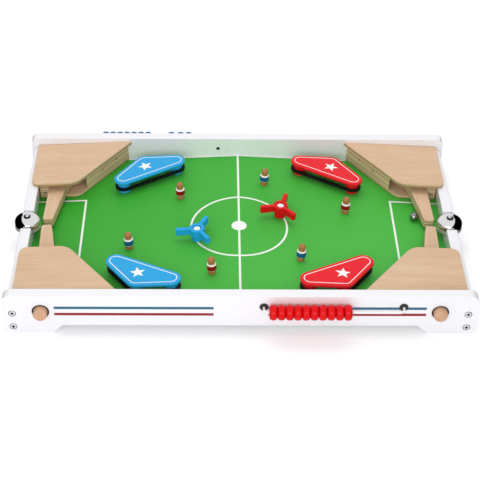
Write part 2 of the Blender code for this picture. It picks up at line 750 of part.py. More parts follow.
def make_player(name, place, side, team):
    """A turned player: a narrow foot, a banded body with soft edges and an egg-shaped head."""
    body_low = PEG_FOOT_HEIGHT
    body_high = PEG_FOOT_HEIGHT + PEG_BODY_HEIGHT
    head = [
        (PEG_HEAD_RADIUS * math.cos(angle), PEG_HEAD_CENTRE + PEG_HEAD_RADIUS * math.sin(angle))
        for angle in (math.radians(degrees) for degrees in (90, 55, 20, -20))
    ]
    profile = [(0.0, head[0][1]), *head[1:]]
    profile += [
        (PEG_NECK_RADIUS, body_high),
        (PEG_BODY_RADIUS - PEG_EDGE, body_high),
        (PEG_BODY_RADIUS, body_high - PEG_EDGE),
        (PEG_BODY_RADIUS, body_low + PEG_EDGE),
        (PEG_BODY_RADIUS - PEG_EDGE, body_low),
        (PEG_FOOT_RADIUS, body_low - PEG_EDGE),
        (PEG_FOOT_RADIUS, GAP),
        (0.0, GAP),
    ]
    player = turned(name, profile, 14)
    finish(player, PAINT[team], HALVES[side], (*place, 0.0))


def make_bell(name, side):
    """A domed bell with a hole in its crown, on a post that stands in the goal gap."""
    shoulder = BELL_CROWN - BELL_SHOULDER
    bore = BELL_STUD_RADIUS + GAP

    def dome(radius, low, rise, hole):
        """A dome that is fuller at the shoulder than an ellipse."""
        power = 2 / BELL_FULLNESS
        flat = math.acos((hole / radius) ** (1 / power))
        angles = [flat * i / 6 for i in range(6, -1, -1)]
        return [
            (radius * math.cos(angle) ** power, low + rise * math.sin(angle) ** power) for angle in angles
        ]

    outer = dome(BELL_RADIUS, shoulder, BELL_SHOULDER, bore)
    inner_radius = BELL_RADIUS - BELL_WALL
    inner = dome(inner_radius, shoulder, BELL_SHOULDER - BELL_WALL, bore)
    profile = [*outer, (BELL_RADIUS, BELL_RIM), (inner_radius, BELL_RIM), *reversed(inner)]
    bell = turned(name + "_bell", profile, FINE_STEPS, ring=True)
    place = (side * END_MIDDLE, 0.0, 0.0)
    finish(bell, STEEL, location=place)
    seat_share = (1 - (BELL_SEAT_RADIUS / inner_radius) ** BELL_FULLNESS) ** (1 / BELL_FULLNESS)
    seat_lift = (BELL_SHOULDER - BELL_WALL) * seat_share
    crown_low = shoulder + seat_lift - RUNNING_GAP
    nut_low = BELL_CROWN + GAP
    nut_high = nut_low + BELL_NUT_HEIGHT
    foot_low = GOAL_SILL + GAP
    foot_high = foot_low + BELL_FOOT_HEIGHT
    seat_low = crown_low - BELL_SEAT_HEIGHT
    post = turned(
        name + "_bell_post",
        [
            (0.0, nut_high + BELL_STUD_PROUD),
            (BELL_STUD_RADIUS, nut_high + BELL_STUD_PROUD),
            (BELL_STUD_RADIUS, nut_high),
            (BELL_NUT_RADIUS, nut_high),
            (BELL_NUT_RADIUS, nut_low),
            (BELL_STUD_RADIUS, nut_low),
            (BELL_STUD_RADIUS, crown_low),
            (BELL_SEAT_RADIUS, crown_low),
            (BELL_SEAT_RADIUS, seat_low),
            (BELL_POST_RADIUS, seat_low),
            (BELL_POST_RADIUS, foot_high),
            (BELL_FOOT_RADIUS, foot_high),
            (BELL_FOOT_RADIUS, foot_low),
            (0.0, foot_low),
        ],
        BORE_STEPS,
    )
    finish(post, STEEL, location=place)


def make_score_rod(name, side):
    """A wire that leaves a rail, runs along it and goes back in. The rear one is turned half round."""
    back = RAIL_THICKNESS - GAP
    middle = ROD_PROUD - ROD_BEND
    near_bend = arc((ROD_NEAR + ROD_BEND, middle), ROD_BEND, math.pi, -math.pi / 2)
    far_bend = arc((ROD_FAR - ROD_BEND, middle), ROD_BEND, math.pi / 2, -math.pi / 2)
    route = [(ROD_NEAR, -back), *near_bend, *far_bend, (ROD_FAR, -back)]
    points = [(-side * x, side * (TABLE_DEPTH / 2 + y), ROD_HEIGHT) for x, y in route]
    finish(wire(name, points, ROD_RADIUS), ROD_WHITE)


def bead_profile(count):
    """The section of a row of beads that touch, from the top of the row down, and back up the bore."""
    profile = []
    for i in range(count):
        top = (count / 2 - i) * BEAD_WIDTH
        low = top - BEAD_WIDTH
        bend = BEAD_RADIUS - BEAD_ROUNDING
        upper = arc((bend, top - BEAD_ROUNDING), BEAD_ROUNDING, math.pi / 2, -math.pi / 2, 2)
        lower = arc((bend, low + BEAD_ROUNDING), BEAD_ROUNDING, 0.0, -math.pi / 2, 2)
        profile += [*(upper if i == 0 else upper[1:]), *lower]
    length = count * BEAD_WIDTH
    return [*profile, (BEAD_BORE, -length / 2), (BEAD_BORE, length / 2)]


def make_bead(name, count, start, side, team):
    """Beads threaded on a rod, with their first edge at a place along it."""
    bead = turned(name, bead_profile(count), ring=True)
    bead.data.transform(Matrix.Rotation(math.pi / 2, 4, "Y"))
    finish(bead, PAINT[team], location=(start + count * BEAD_WIDTH / 2, side * ROD_RUN, ROD_HEIGHT))


def make_bead_row(team, side, gaps):
    """Ten beads: the six at the left end as one piece, then four that slide one by one."""
    rod_left = ROD_NEAR if side < 0 else -ROD_FAR
    place = rod_left + ROD_BEND + GAP
    make_bead(team + "_bead_row", JOINED_BEADS, place, side, team)
    place += JOINED_BEADS * BEAD_WIDTH
    for number, gap in enumerate(gaps, JOINED_BEADS + 1):
        place += GAP + gap
        make_bead(team + "_bead_" + str(number), 1, place, side, team)
        place += BEAD_WIDTH


def make_ball():
    """The steel ball, at rest on the playfield against the rear right flipper."""
    waist = Vector(FLIPPER_WAIST)
    course = (Vector((FLIPPER_TIP_INNER, FLIPPER_TIP)) - waist).normalized()
    edge = waist + course * ((BALL_ROW - waist.y) / course.y)
    reach = BALL_RADIUS + RUNNING_GAP
    column = edge.x - reach / -course.y
    mesh = bpy.data.meshes.new("steel_ball")
    work = bmesh.new()
    bmesh.ops.create_icosphere(work, subdivisions=3, radius=BALL_RADIUS)
    work.to_mesh(mesh)
    work.free()
    mesh.shade_smooth()
    ball = bpy.data.objects.new("steel_ball", mesh)
    finish(ball, STEEL, HALVES[1], (column, BALL_ROW, BALL_RADIUS + GAP))


make_long_rail("front_rail", -1)
make_long_rail("rear_rail", 1)
make_end_rail("left_end_rail", -1)
make_end_rail("right_end_rail", 1)
make_playfield()
for corner_name, (across_sign, along_sign) in CORNERS.items():
    make_housing(corner_name, across_sign, along_sign)
    make_cover(corner_name, across_sign, along_sign)
    make_flipper(corner_name, across_sign, along_sign)
    make_spring(corner_name, across_sign, along_sign)
    make_button(corner_name, across_sign, along_sign)
    make_bumper(corner_name, across_sign, along_sign)
for side_sign, team_name in TEAMS.items():
    make_spinner(team_name, side_sign)
    make_bell({-1: "left", 1: "right"}[side_sign], side_sign)
for player_number, (column_place, row_place) in enumerate(RED_PLAYERS, 1):
    half_sign = 1 if column_place > 0 else -1
    make_player("red_player_" + str(player_number), (column_place, row_place), half_sign, "red")
    make_player("blue_player_" + str(player_number), (-column_place, -row_place), -half_sign, "blue")
make_score_rod("front_score_rod", -1)
make_score_rod("rear_score_rod", 1)
make_bead_row("red", -1, RED_BEAD_GAPS)
make_bead_row("blue", 1, BLUE_BEAD_GAPS)
make_ball()
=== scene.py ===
"""The looks of a tabletop football pinball game: its lacquer, plywood, paint, rubber and metal.

Metres, +Z up, +X along the long rails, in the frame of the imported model. "Over the pitch" means square to
the half of the playfield that a piece stands on, and each half has its own origin on the crest.
"""

import math
from contextlib import contextmanager

import bmesh
import bpy
from mathutils import Matrix, Vector


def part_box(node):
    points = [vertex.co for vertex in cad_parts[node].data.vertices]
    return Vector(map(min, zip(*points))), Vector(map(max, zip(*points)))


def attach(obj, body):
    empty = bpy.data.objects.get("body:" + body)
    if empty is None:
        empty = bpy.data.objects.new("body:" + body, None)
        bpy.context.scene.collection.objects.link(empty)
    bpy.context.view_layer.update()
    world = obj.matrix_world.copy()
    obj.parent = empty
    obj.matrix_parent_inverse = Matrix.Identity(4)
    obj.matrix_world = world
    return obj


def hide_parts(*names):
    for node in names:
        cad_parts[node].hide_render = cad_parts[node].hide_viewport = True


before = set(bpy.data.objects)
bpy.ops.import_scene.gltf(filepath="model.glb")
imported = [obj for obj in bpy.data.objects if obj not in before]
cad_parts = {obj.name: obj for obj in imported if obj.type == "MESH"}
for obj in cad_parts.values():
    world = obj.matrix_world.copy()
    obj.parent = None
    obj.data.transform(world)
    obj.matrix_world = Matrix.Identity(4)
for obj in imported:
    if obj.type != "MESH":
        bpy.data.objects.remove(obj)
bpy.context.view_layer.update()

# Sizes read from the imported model
RAIL_LOW, RAIL_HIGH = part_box("rear_rail")
RAIL_END = RAIL_HIGH.x
RAIL_TOP = RAIL_HIGH.z
OUTER_FACE = RAIL_HIGH.y
INNER_FACE = RAIL_LOW.y
END_RAIL_LOW, END_RAIL_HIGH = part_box("right_end_rail")
END_INNER = END_RAIL_LOW.x
END_OUTER = END_RAIL_HIGH.x
END_MIDDLE = (END_INNER + END_OUTER) / 2
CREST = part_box("playfield")[1].z
BUTTON_MIDDLE = (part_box("push_button_rear_right")[0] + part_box("push_button_rear_right")[1]) / 2
BUTTON_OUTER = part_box("push_button_rear_right")[1].y
BELL_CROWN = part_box("right_bell")[1].z

# Frame
GAP = 0.0003
RUNNING_GAP = 0.0004
OVERRUN = 0.010
CREST_FALL = 0.0143
RAIL_CORNER = 0.010
RAIL_EDGE = 0.0014
FOOT_LENGTH = 0.0625
ARCH_HEIGHT = 0.012
ARCH_RUN = 0.012
ARCH_ROUNDING = 0.006
FOOT_ROUNDING = 0.003
BOARD_THICKNESS = 0.004
GROOVE_DEPTH = 0.004
GOAL_WIDTH = 0.040
GOAL_SILL_DROP = 0.001
GOAL_ROUNDING = 0.004
END_RAIL_EDGE = 0.0011

# Paint, which stands a little proud of what it is printed on
PAINT_THICKNESS = 0.00008
LINE_WIDTH = 0.0028
CIRCLE_RADIUS = 0.0659
SPOT_RADIUS = 0.0104
BOX_FROM_CREST = 0.2150
BOX_HALF_WIDTH = 0.0715
TOUCHLINE_WIDTH = 0.0018
STRIPE_SPANS = ((-0.2353, -0.0345), (0.0345, 0.2345))
TEAL_STRIPE_HEIGHT = 0.0410
RED_STRIPE_HEIGHT = 0.0307
STRIPE_WIDTH = 0.0041

# Frame screws, eyelets and nails
SCREW_PLACE = 0.2882
SCREW_HEIGHTS = (0.0098, 0.0313)
SCREW_HEAD_RADIUS = 0.0042
SCREW_HEAD_RISE = 0.0004
SCREW_SINK = 0.0010
# A dark ring of painted shade round each screw head, in its countersink
SCREW_SHADE_RING = 0.0007
CROSS_LENGTH = 0.0046
CROSS_WIDTH = 0.0018
CROSS_DEPTH = 0.0009
EYELET_RADIUS = 0.0056
EYELET_PROUD = 0.0016
# Dark discs of painted shade, where the score rods go into the rails' inner faces
ROD_HOLE_SHADE_RADIUS = 0.0026
ROD_HOLE_SHADE_PROUD = 0.0006
NAIL_RADIUS = 0.0013
NAIL_PROUD = 0.0001

# Corner housings
COVER_SPAN = 0.1276
COVER_MOUTH_SPAN = 0.0547
COVER_DEPTH = 0.0990
COVER_LAP = 0.0075
COVER_TOP = 0.0318
COVER_THICKNESS = 0.0054
COVER_INNER_ROUNDING = 0.025
COVER_OUTER_ROUNDING = 0.011
COVER_EDGE = 0.0007
BASE_INSET = 0.0045
BASE_ROUNDING = 0.014
WALL_INSET = 0.0045
WALL_THICKNESS = 0.014
MOUTH_INSET = 0.0095
BASE_THICKNESS = 0.0044
STOP_LENGTH = 0.024
BLOCK_EDGE = 0.0004

# Flippers and their springs
PIVOT_FROM_END = 0.0455
PIVOT_FROM_RAIL = 0.0505
PIVOT_RADIUS = 0.003
EYE_RADIUS = 0.0073
FLIPPER_TOP = 0.018
FLIPPER_THICKNESS = 0.012
FLIPPER_TIP_GAP = 0.013
FLIPPER_WAIST_OFFSET = 0.0070
FLIPPER_WAIST_REACH = 0.040
FLIPPER_WAIST_ROUNDING = 0.030
FLIPPER_TIP_OFFSET = 0.0190
FLIPPER_TIP_WIDTH = 0.0134
FLIPPER_HEEL_REACH = 0.0294
FLIPPER_TIP_ROUNDING = 0.003
FLIPPER_ROOT_ROUNDING = 0.004
FLIPPER_EDGE = 0.0008
STOP_CLEARANCE = 0.0005
SWING_ROOM = 0.0208
SPRING_WIRE = 0.001
SPRING_PLAY = 0.001
SPRING_RISE = 0.0016
SPRING_TURNS = 2.75
SPRING_LEG = 0.022

# Push buttons
BUTTON_RADIUS = 0.0088
BUTTON_PLAY = 0.0022
LINER_CLEARANCE = 0.0005
LINER_INSET = 0.0007
BUTTON_EDGE = 0.0034
NOSE_RADIUS = 0.003
NOSE_LENGTH = 0.0115
NOSE_START = -math.pi / 12
COLLAR_LAP = 0.0025
COLLAR_CLEARANCE = 0.0018
COLLAR_THICKNESS = 0.004
COLLAR_EDGE = 0.0005

# Bumpers: the posts' places are shares of the half pitch's length and width
BUMPER_POST_SHARES = ((0.5751, 0.5484), (0.4754, 0.7830), (0.3167, 0.7830))
BUMPER_TOP = 0.0214
BUMPER_PLATE = 0.0046
BUMPER_OVERHANG = 0.0047
BUMPER_EDGE = 0.0018
POST_RADIUS = 0.0088
POST_EDGE = 0.0006
BAND_WIDTH = 0.0036
BAND_LOW = 0.0064
BAND_HEIGHT = 0.0038
BAND_EDGE = 0.0014
INLINE_RADIUS = 0.0088
INLINE_WIDTH = 0.0011
STAR_PLACE = (0.1319, 0.1204)
STAR_TIPS = 5
STAR_RADIUS = 0.0107
STAR_WAIST_SHARE = 0.42
STAR_TURN = -25.4

# Spinners
SPINNER_PLACE_SHARES = (0.2011, 0.1543)
SPINNER_TOP = 0.0190
SPINNER_ARM_HEIGHT = 0.0097
SPINNER_HUB_RADIUS = 0.0103
SPINNER_COLLAR_RADIUS = 0.0076
SPINNER_REACH = 0.0285
SPINNER_ARM_WIDTH = 0.0052
SPINNER_TIP_WIDTH = 0.0066
SPINNER_TIP_ROUNDING = 0.0018
SPINNER_EDGE = 0.0007
SPINNER_RECESS_RADIUS = 0.0057
SPINNER_RECESS_DEPTH = 0.0042
SPINNER_ANGLES = {"red": 72.0, "blue": 63.0}
SPINNER_SCREW_RADIUS = 0.0022
SPINNER_HEAD_RADIUS = 0.0048
SPINNER_HEAD_HEIGHT = 0.0026
SPINNER_HEAD_CROWN = 0.0007

# Players: the red ones' places, and the blue ones stand opposite
RED_PLAYER_SHARES = ((-0.2893, 0.4088), (0.5285, 0.2405), (-0.1306, -0.5918))
PEG_FOOT_RADIUS = 0.0049
PEG_FOOT_HEIGHT = 0.0066
PEG_BODY_RADIUS = 0.0064
PEG_BODY_HEIGHT = 0.0102
PEG_EDGE = 0.0012
PEG_SHOULDER = 0.0028
PEG_NECK_RADIUS = 0.0046
PEG_HEAD_RADIUS = 0.0047
PEG_HEAD_CENTRE = 0.0215
PEG_HEAD_SWEEP = 115
PEG_SHOULDER_SWEEP = 1.2
PEG_RING_WIDTH = 0.0010

# Bells
BELL_RADIUS = 0.0175
BELL_RIM = 0.0288
BELL_SHOULDER = 0.0112
BELL_FULLNESS = 3.2
BELL_WALL = 0.0012
BELL_LIP = 0.0006
BELL_POST_RADIUS = 0.0022
BELL_SEAT_RADIUS = 0.0050
BELL_SEAT_HEIGHT = 0.0025
BELL_WASHER_RADIUS = 0.0048
BELL_WASHER_HEIGHT = 0.0009
BELL_NUT_RADIUS = 0.0035
BELL_NUT_HEIGHT = 0.0019
BELL_NUT_EDGE = 0.0004
BELL_STUD_RADIUS = 0.0018
BELL_STUD_PROUD = 0.0012
BELL_FOOT_RADIUS = 0.0060
BELL_FOOT_HEIGHT = 0.0020

# Score counters
ROD_RADIUS = 0.0015
ROD_HEIGHT = 0.0435
ROD_FROM_BUTTON = 0.0471
ROD_SPAN = 0.1764
ROD_CLEARANCE = 0.001
ROD_BEND = 0.006
BEAD_RADIUS = 0.010
BEAD_WIDTH = 0.0103
BEAD_ROUNDING = 0.0042
JOINED_BEADS = 6
LAST_BEAD = 10

# Ball
BALL_RADIUS = 0.0063

# Facets of a full turn, of a rounded corner and of a softened edge
CENTRE_CIRCLE_STEPS = 128
BELL_STEPS = 96
ROUND_STEPS = 64
BEAD_STEPS = 48
SPHERE_STEPS = 48
PLAYER_STEPS = 40
SMALL_STEPS = 32
SPRING_STEPS = 24
DOME_STEPS = 24
EYE_STEPS = 20
WIDE_CORNER_STEPS = 16
HUB_STEPS = 14
HEAD_STEPS = 14
BEAD_CORNER_STEPS = 12
CORNER_STEPS = 10
BEND_STEPS = 8
SMALL_BEND_STEPS = 5
FINE_EDGE_STEPS = 5
BAND_EDGE_STEPS = 4
EDGE_STEPS = 3
COARSE_EDGE_STEPS = 2

# Angles, in degrees, at which an edge is softened or stays sharp
FLAT_ANGLE = 0.2
SOFTENED_ANGLE = 40
SHARP_ANGLE = 50
TURNED_SHARP_ANGLE = 35
SMOOTH_SHARP_ANGLE = 60

# Sizes that follow from the ones above
TILT = math.atan2(CREST_FALL, END_INNER)
SLOPE = math.tan(TILT)
RAIL_THICKNESS = OUTER_FACE - INNER_FACE
RAIL_MIDDLE = (OUTER_FACE + INNER_FACE) / 2
BOARD_END_HEIGHT = CREST - CREST_FALL
GOAL_SILL = BOARD_END_HEIGHT - GOAL_SILL_DROP
COVER_TIP = END_INNER - COVER_SPAN
COVER_CORNER = END_INNER - COVER_MOUTH_SPAN
COVER_MOUTH = INNER_FACE - COVER_DEPTH
COVER_OUTER = END_INNER + COVER_LAP
COVER_UNDERSIDE = COVER_TOP - COVER_THICKNESS
HOUSING_BACK = INNER_FACE - GAP
BASE_TOP = GAP + BASE_THICKNESS
BASE_MOUTH = COVER_MOUTH + MOUTH_INSET
STOP_BACK = (END_INNER - GAP - COVER_UNDERSIDE * math.sin(TILT)) / math.cos(TILT)
PIVOT_OUT = END_INNER - PIVOT_FROM_END
PIVOT_IN = INNER_FACE - PIVOT_FROM_RAIL
WALL_END = PIVOT_OUT - SWING_ROOM
HEEL = PIVOT_IN + EYE_RADIUS
FLIPPER_TIP = FLIPPER_TIP_GAP / 2
FLIPPER_WAIST = (PIVOT_OUT + FLIPPER_WAIST_OFFSET, PIVOT_IN - FLIPPER_WAIST_REACH)
FLIPPER_TIP_INNER = PIVOT_OUT + FLIPPER_TIP_OFFSET
FLIPPER_TIP_OUTER = FLIPPER_TIP_INNER + FLIPPER_TIP_WIDTH
FLIPPER_ROOT_OUTER = PIVOT_OUT + FLIPPER_HEEL_REACH
BUTTON_PLACE = BUTTON_MIDDLE.x
BUTTON_HOLE_RADIUS = BUTTON_RADIUS + BUTTON_PLAY
SPRING_RADIUS = PIVOT_RADIUS + SPRING_PLAY + SPRING_WIRE / 2
BUMPER_POSTS = [(END_INNER * x, INNER_FACE * y) for x, y in BUMPER_POST_SHARES]
SPINNER_PLACE = (END_INNER * SPINNER_PLACE_SHARES[0], INNER_FACE * SPINNER_PLACE_SHARES[1])
RED_PLAYERS = [(END_INNER * x, INNER_FACE * y) for x, y in RED_PLAYER_SHARES]
ROD_FAR = BUTTON_PLACE - ROD_FROM_BUTTON
ROD_NEAR = ROD_FAR - ROD_SPAN
ROD_PROUD = BEAD_RADIUS + ROD_CLEARANCE
BEAD_BORE = ROD_RADIUS + RUNNING_GAP

CORNERS = {"rear_left": (-1, 1), "rear_right": (1, 1), "front_left": (-1, -1), "front_right": (1, -1)}
RAILS = {"front": -1, "rear": 1}
ENDS = {"left": -1, "right": 1}
TEAMS = {-1: "blue", 1: "red"}


# Finishes


def shade(red, green, blue):
    """A colour as a screen shows it, from 0 to 255, made linear for a shader."""
    parts = (part / 255 for part in (red, green, blue))
    return (*(p / 12.92 if p <= 0.04045 else ((p + 0.055) / 1.055) ** 2.4 for p in parts), 1.0)


class Field:
    """A value that changes over a surface or a shape. Sums on fields add Math nodes to their tree."""

    def __init__(self, graph, socket):
        self.graph = graph
        self.socket = socket

    def maths(self, operation, *others):
        return self.graph.maths(operation, self, *others)

    def __add__(self, other):
        return self.maths("ADD", other)

    def __sub__(self, other):
        return self.maths("SUBTRACT", other)

    def __rsub__(self, other):
        return self.graph.maths("SUBTRACT", other, self)

    def __mul__(self, other):
        return self.maths("MULTIPLY", other)

    def __truediv__(self, other):
        return self.maths("DIVIDE", other)

    def __abs__(self):
        return self.maths("ABSOLUTE")

    __radd__ = __add__
    __rmul__ = __mul__


class Graph:
    """A node tree, to which nodes are added one by one."""

    def __init__(self, tree):
        self.tree = tree

    def node(self, kind, settings=(), sockets=(), out=0):
        """Adds a node: first its settings, then the values or fields of its sockets."""
        made = self.tree.nodes.new(kind)
        for name, value in dict(settings).items():
            if name == "stops":
                for stop, (place, colour) in zip(self.stops(made.color_ramp, len(value)), value):
                    stop.position = place
                    stop.color = colour
            else:
                setattr(made, name, value)
        for key, value in dict(sockets).items():
            self.feed(made.inputs[key], value)
        return Field(self, made.outputs[out])

    def stops(self, ramp, count):
        while len(ramp.elements) < count:
            ramp.elements.new(1.0)
        return ramp.elements

    def feed(self, socket, value):
        if isinstance(value, Field):
            self.tree.links.new(value.socket, socket)
        else:
            socket.default_value = value

    def maths(self, operation, *values):
        return self.node("ShaderNodeMath", {"operation": operation}, enumerate(values))

    def rise(self, value, low, high):
        """A smooth step from 0 at low to 1 at high."""
        sockets = {"Value": value, "From Min": low, "From Max": high}
        return self.node("ShaderNodeMapRange", {"interpolation_type": "SMOOTHSTEP"}, sockets)

    def mix(self, share, first, second):
        return self.node("ShaderNodeMix", {"data_type": "RGBA"}, {0: share, 6: first, 7: second}, out=2)


SOCKETS = {
    "specular": "Specular IOR Level",
    "coat": "Coat Weight",
    "coat_roughness": "Coat Roughness",
    "metallic": "Metallic",
    "glow": "Emission Color",
    "glow_strength": "Emission Strength",
}


class Finish(Graph):
    """A surface finish: a material whose Principled shader takes plain values and fields."""

    def __init__(self, name):
        self.material = bpy.data.materials.new(name)
        self.material.use_nodes = True
        super().__init__(self.material.node_tree)
        self.shader = self.tree.nodes["Principled BSDF"]
        self.place = self.node("ShaderNodeTexCoord", out="Object")

    def surface(self, colour, roughness, relief=None, depth=0.0, **others):
        """Feeds the shader. The relief is that deep, in metres, where its height runs from 0 to 1."""
        sockets = {"Base Color": colour, "Roughness": roughness}
        sockets |= {SOCKETS[name]: value for name, value in others.items()}
        if depth:
            values = {"Strength": 1.0, "Distance": depth, "Height": relief}
            sockets["Normal"] = self.node("ShaderNodeBump", sockets=values)
        for name, value in sockets.items():
            self.feed(self.shader.inputs[name], value)
        return self.material

    def axes(self, vector=None):
        """The three parts of a place or of a normal."""
        split = self.node("ShaderNodeSeparateXYZ", sockets={0: vector or self.place})
        outputs = split.socket.node.outputs
        return [Field(self, outputs[axis]) for axis in ("X", "Y", "Z")]

    def over_pitch(self):
        """How far a place is above the playfield, on either half."""
        x, _, z = self.axes()
        return (z - CREST + abs(x) * SLOPE) * math.cos(TILT)

    def noise(self, size, detail=2.0, roughness=0.5):
        """Noise from 0 to 1 whose grains are of that size, or of those sizes along the three axes."""
        sizes = size if isinstance(size, tuple) else (size, size, size)
        scale = [1 / part for part in sizes]
        place = self.node("ShaderNodeMapping", sockets={"Vector": self.place, "Scale": scale})
        sockets = {"Vector": place, "Scale": 1.0, "Detail": detail, "Roughness": roughness}
        return self.node("ShaderNodeTexNoise", {"noise_dimensions": "3D"}, sockets)

    def band(self, value, low, high, edge):
        """1 between two values and 0 outside them."""
        return self.rise(value, low - edge, low + edge) - self.rise(value, high - edge, high + edge)

    def ramp(self, value, *stops):
        return self.node("ShaderNodeValToRGB", {"stops": stops}, {0: value})

    def facing_up(self):
        """1 on faces that lie flat, whichever way up, and 0 on edges and sides."""
        normal = self.node("ShaderNodeTexCoord", out="Normal")
        return self.rise(abs(self.axes(normal)[2]), 0.75, 0.95)


def deeper(colour, share):
    """A colour with a share of its light."""
    return (*(part * share for part in colour[:3]), 1.0)


def make_lacquer():
    """White satin lacquer, sprayed on sanded wood: a faint orange peel and a trace of the grain."""
    finish = Finish("white_lacquer")
    peel = finish.noise(0.0011, 1.0)
    grain = finish.noise((0.050, 0.0013, 0.0013), 3.0)
    haze = finish.noise(0.060)
    colour = finish.mix(haze, shade(243, 243, 249), shade(249, 248, 250))
    relief = peel * 0.4 + grain * 0.6
    return finish.surface(colour, 0.24 + haze * 0.10, relief, 0.00003, coat=0.60, coat_roughness=0.10)


def make_pitch_paint():
    """The printed green of the playfield, with painted light that makes it lighter to the front and the
    right, and a faint weave.
    """
    finish = Finish("green_pitch")
    x, y, _ = finish.axes()
    cloud = finish.noise(0.055)
    speck = finish.noise(0.0009)
    # Painted light: the green is made lighter towards the right and the front, where the lamps light it more.
    light = 0.50 + x / END_INNER * 0.34 + (abs(y) - y) / INNER_FACE * 0.18
    ground = finish.mix(light + (cloud - 0.5) * 0.12, shade(50, 162, 40), shade(82, 194, 76))
    colour = finish.mix(speck * 0.10, ground, shade(40, 132, 36))
    return finish.surface(colour, 0.42 + speck * 0.12, speck, 0.00003, specular=0.25)


def make_speckled(name, size, first, second, roughness, spread, depth=0.0):
    """A plain paint or plastic that goes from one colour to another in specks of that size."""
    finish = Finish(name)
    speck = finish.noise(size)
    return finish.surface(finish.mix(speck, first, second), roughness + speck * spread, speck, depth)


def wood_grain(finish, along):
    """Figure, streaks, grain and flecks of beech whose fibres run along X or Y: fields from 0 to 1."""

    def stretched(length, width):
        return (length, width, width) if along == "X" else (width, length, width)

    figure = finish.noise(stretched(0.130, 0.016), 3.0, 0.55)
    streaks = finish.rise(finish.noise(stretched(0.150, 0.0023), 2.0, 0.6), 0.42, 0.70)
    grain = finish.noise(stretched(0.030, 0.0007), 3.0, 0.6)
    flecks = finish.rise(finish.noise(stretched(0.0042, 0.00042), 1.0), 0.60, 0.74)
    return figure, streaks, grain, flecks


def make_plywood(name, top, ply, light_share, dark, along="X"):
    """Beech plywood: a clear veneer on the flat faces, and light and dark plies where it is cut."""
    finish = Finish(name)
    figure, streaks, grain, flecks = wood_grain(finish, along)
    rings = finish.band((figure * 7.0).maths("FRACT"), 0.42, 0.58, 0.14)
    tones = ((0.25, shade(229, 200, 168)), (0.50, shade(224, 190, 156)), (0.75, shade(216, 180, 146)))
    veneer = finish.ramp(figure, *tones)
    for share, tone in (
        (rings * 0.22, shade(204, 164, 128)),
        (streaks * 0.30, shade(204, 166, 130)),
        (grain * 0.22, shade(203, 165, 132)),
        (flecks * 0.38, shade(196, 150, 114)),
    ):
        veneer = finish.mix(share, veneer, tone)
    depth = top - finish.over_pitch()
    waver = finish.noise((0.045, 0.045, 0.0040)) - 0.5
    turn = (depth / ply + waver * 0.22 + 1.0).maths("FRACT")
    layer = finish.band(turn, 0.03, light_share, 0.05)
    pores = finish.noise((0.0011, 0.0011, 0.00035), 3.0, 0.7)
    cut = finish.mix(layer, dark, shade(228, 202, 164))
    cut = finish.mix(pores * 0.30, cut, shade(160, 126, 86))
    flat = finish.facing_up()
    relief = flat * (grain * 0.6 - flecks * 0.7) + (1 - flat) * (pores + layer)
    roughness = 0.62 - flat * 0.16 + grain * 0.08
    colour = finish.mix(flat, cut, veneer)
    return finish.surface(colour, roughness, relief, 0.00006, coat=flat * 0.12, coat_roughness=0.25)


def make_dowel_wood():
    """Sanded beech end grain on the round push buttons: pinkish, with short rays across."""
    finish = Finish("beech_dowel")
    rays = finish.rise(finish.noise((0.0005, 0.0005, 0.0042)), 0.55, 0.72)
    rings = finish.noise((0.0030, 0.0030, 0.012), 3.0, 0.6)
    pores = finish.noise(0.00035)
    tones = ((0.25, shade(226, 186, 152)), (0.50, shade(214, 168, 134)), (0.75, shade(200, 152, 118)))
    wood = finish.mix(rays * 0.45, finish.ramp(rings, *tones), shade(176, 124, 92))
    colour = finish.mix(pores * 0.25, wood, shade(168, 120, 88))
    return finish.surface(colour, 0.46 + pores * 0.12, pores - rays * 0.5, 0.00004)


def make_gloss_paint(name, colour, roughness=0.22):
    """Glossy paint on wood, with a faint unevenness where it was dipped."""
    finish = Finish(name)
    cloud = finish.noise(0.009)
    peel = finish.noise(0.0016, 1.0)
    paint = finish.mix(cloud, deeper(colour, 0.95), colour)
    relief = peel * 0.5 + cloud * 0.5
    gloss = {"specular": 0.12, "coat": 0.10, "coat_roughness": 0.06}
    return finish.surface(paint, roughness + cloud * 0.10, relief, 0.000015, **gloss)


def make_player_paint(team, colour):
    """A turned player: a bare head and foot, and a coloured shirt between two white rings."""
    finish = Finish(team + "_player")
    waver = (finish.noise(0.0018, 1.0) - 0.5) * 0.0005
    height = finish.over_pitch() + waver
    high = PEG_FOOT_HEIGHT + PEG_BODY_HEIGHT
    soft = GAP / 3
    body = finish.band(height, PEG_FOOT_HEIGHT - PEG_EDGE / 2, high - PEG_SHOULDER * 0.08, soft)
    shirt = finish.band(height, PEG_FOOT_HEIGHT + PEG_RING_WIDTH, high - PEG_SHOULDER * 0.68, soft)
    grain = finish.noise((0.0008, 0.0008, 0.006), 3.0, 0.6)
    tones = ((0.30, shade(198, 140, 92)), (0.50, shade(180, 120, 76)), (0.72, shade(154, 96, 58)))
    painted = finish.mix(shirt, shade(244, 244, 240), colour)
    colour = finish.mix(body, finish.ramp(grain, *tones), painted)
    relief = grain * (1 - body) + waver * 0.5
    return finish.surface(colour, 0.46 - body * 0.10, relief, 0.00004, specular=0.2)


def make_rubber():
    finish = Finish("black_rubber")
    dust = finish.noise(0.0022, 3.0)
    colour = finish.mix(finish.rise(dust, 0.5, 0.8), shade(10, 10, 12), shade(24, 24, 28))
    return finish.surface(colour, 0.45 + dust * 0.25, dust, 0.00003, specular=0.25)


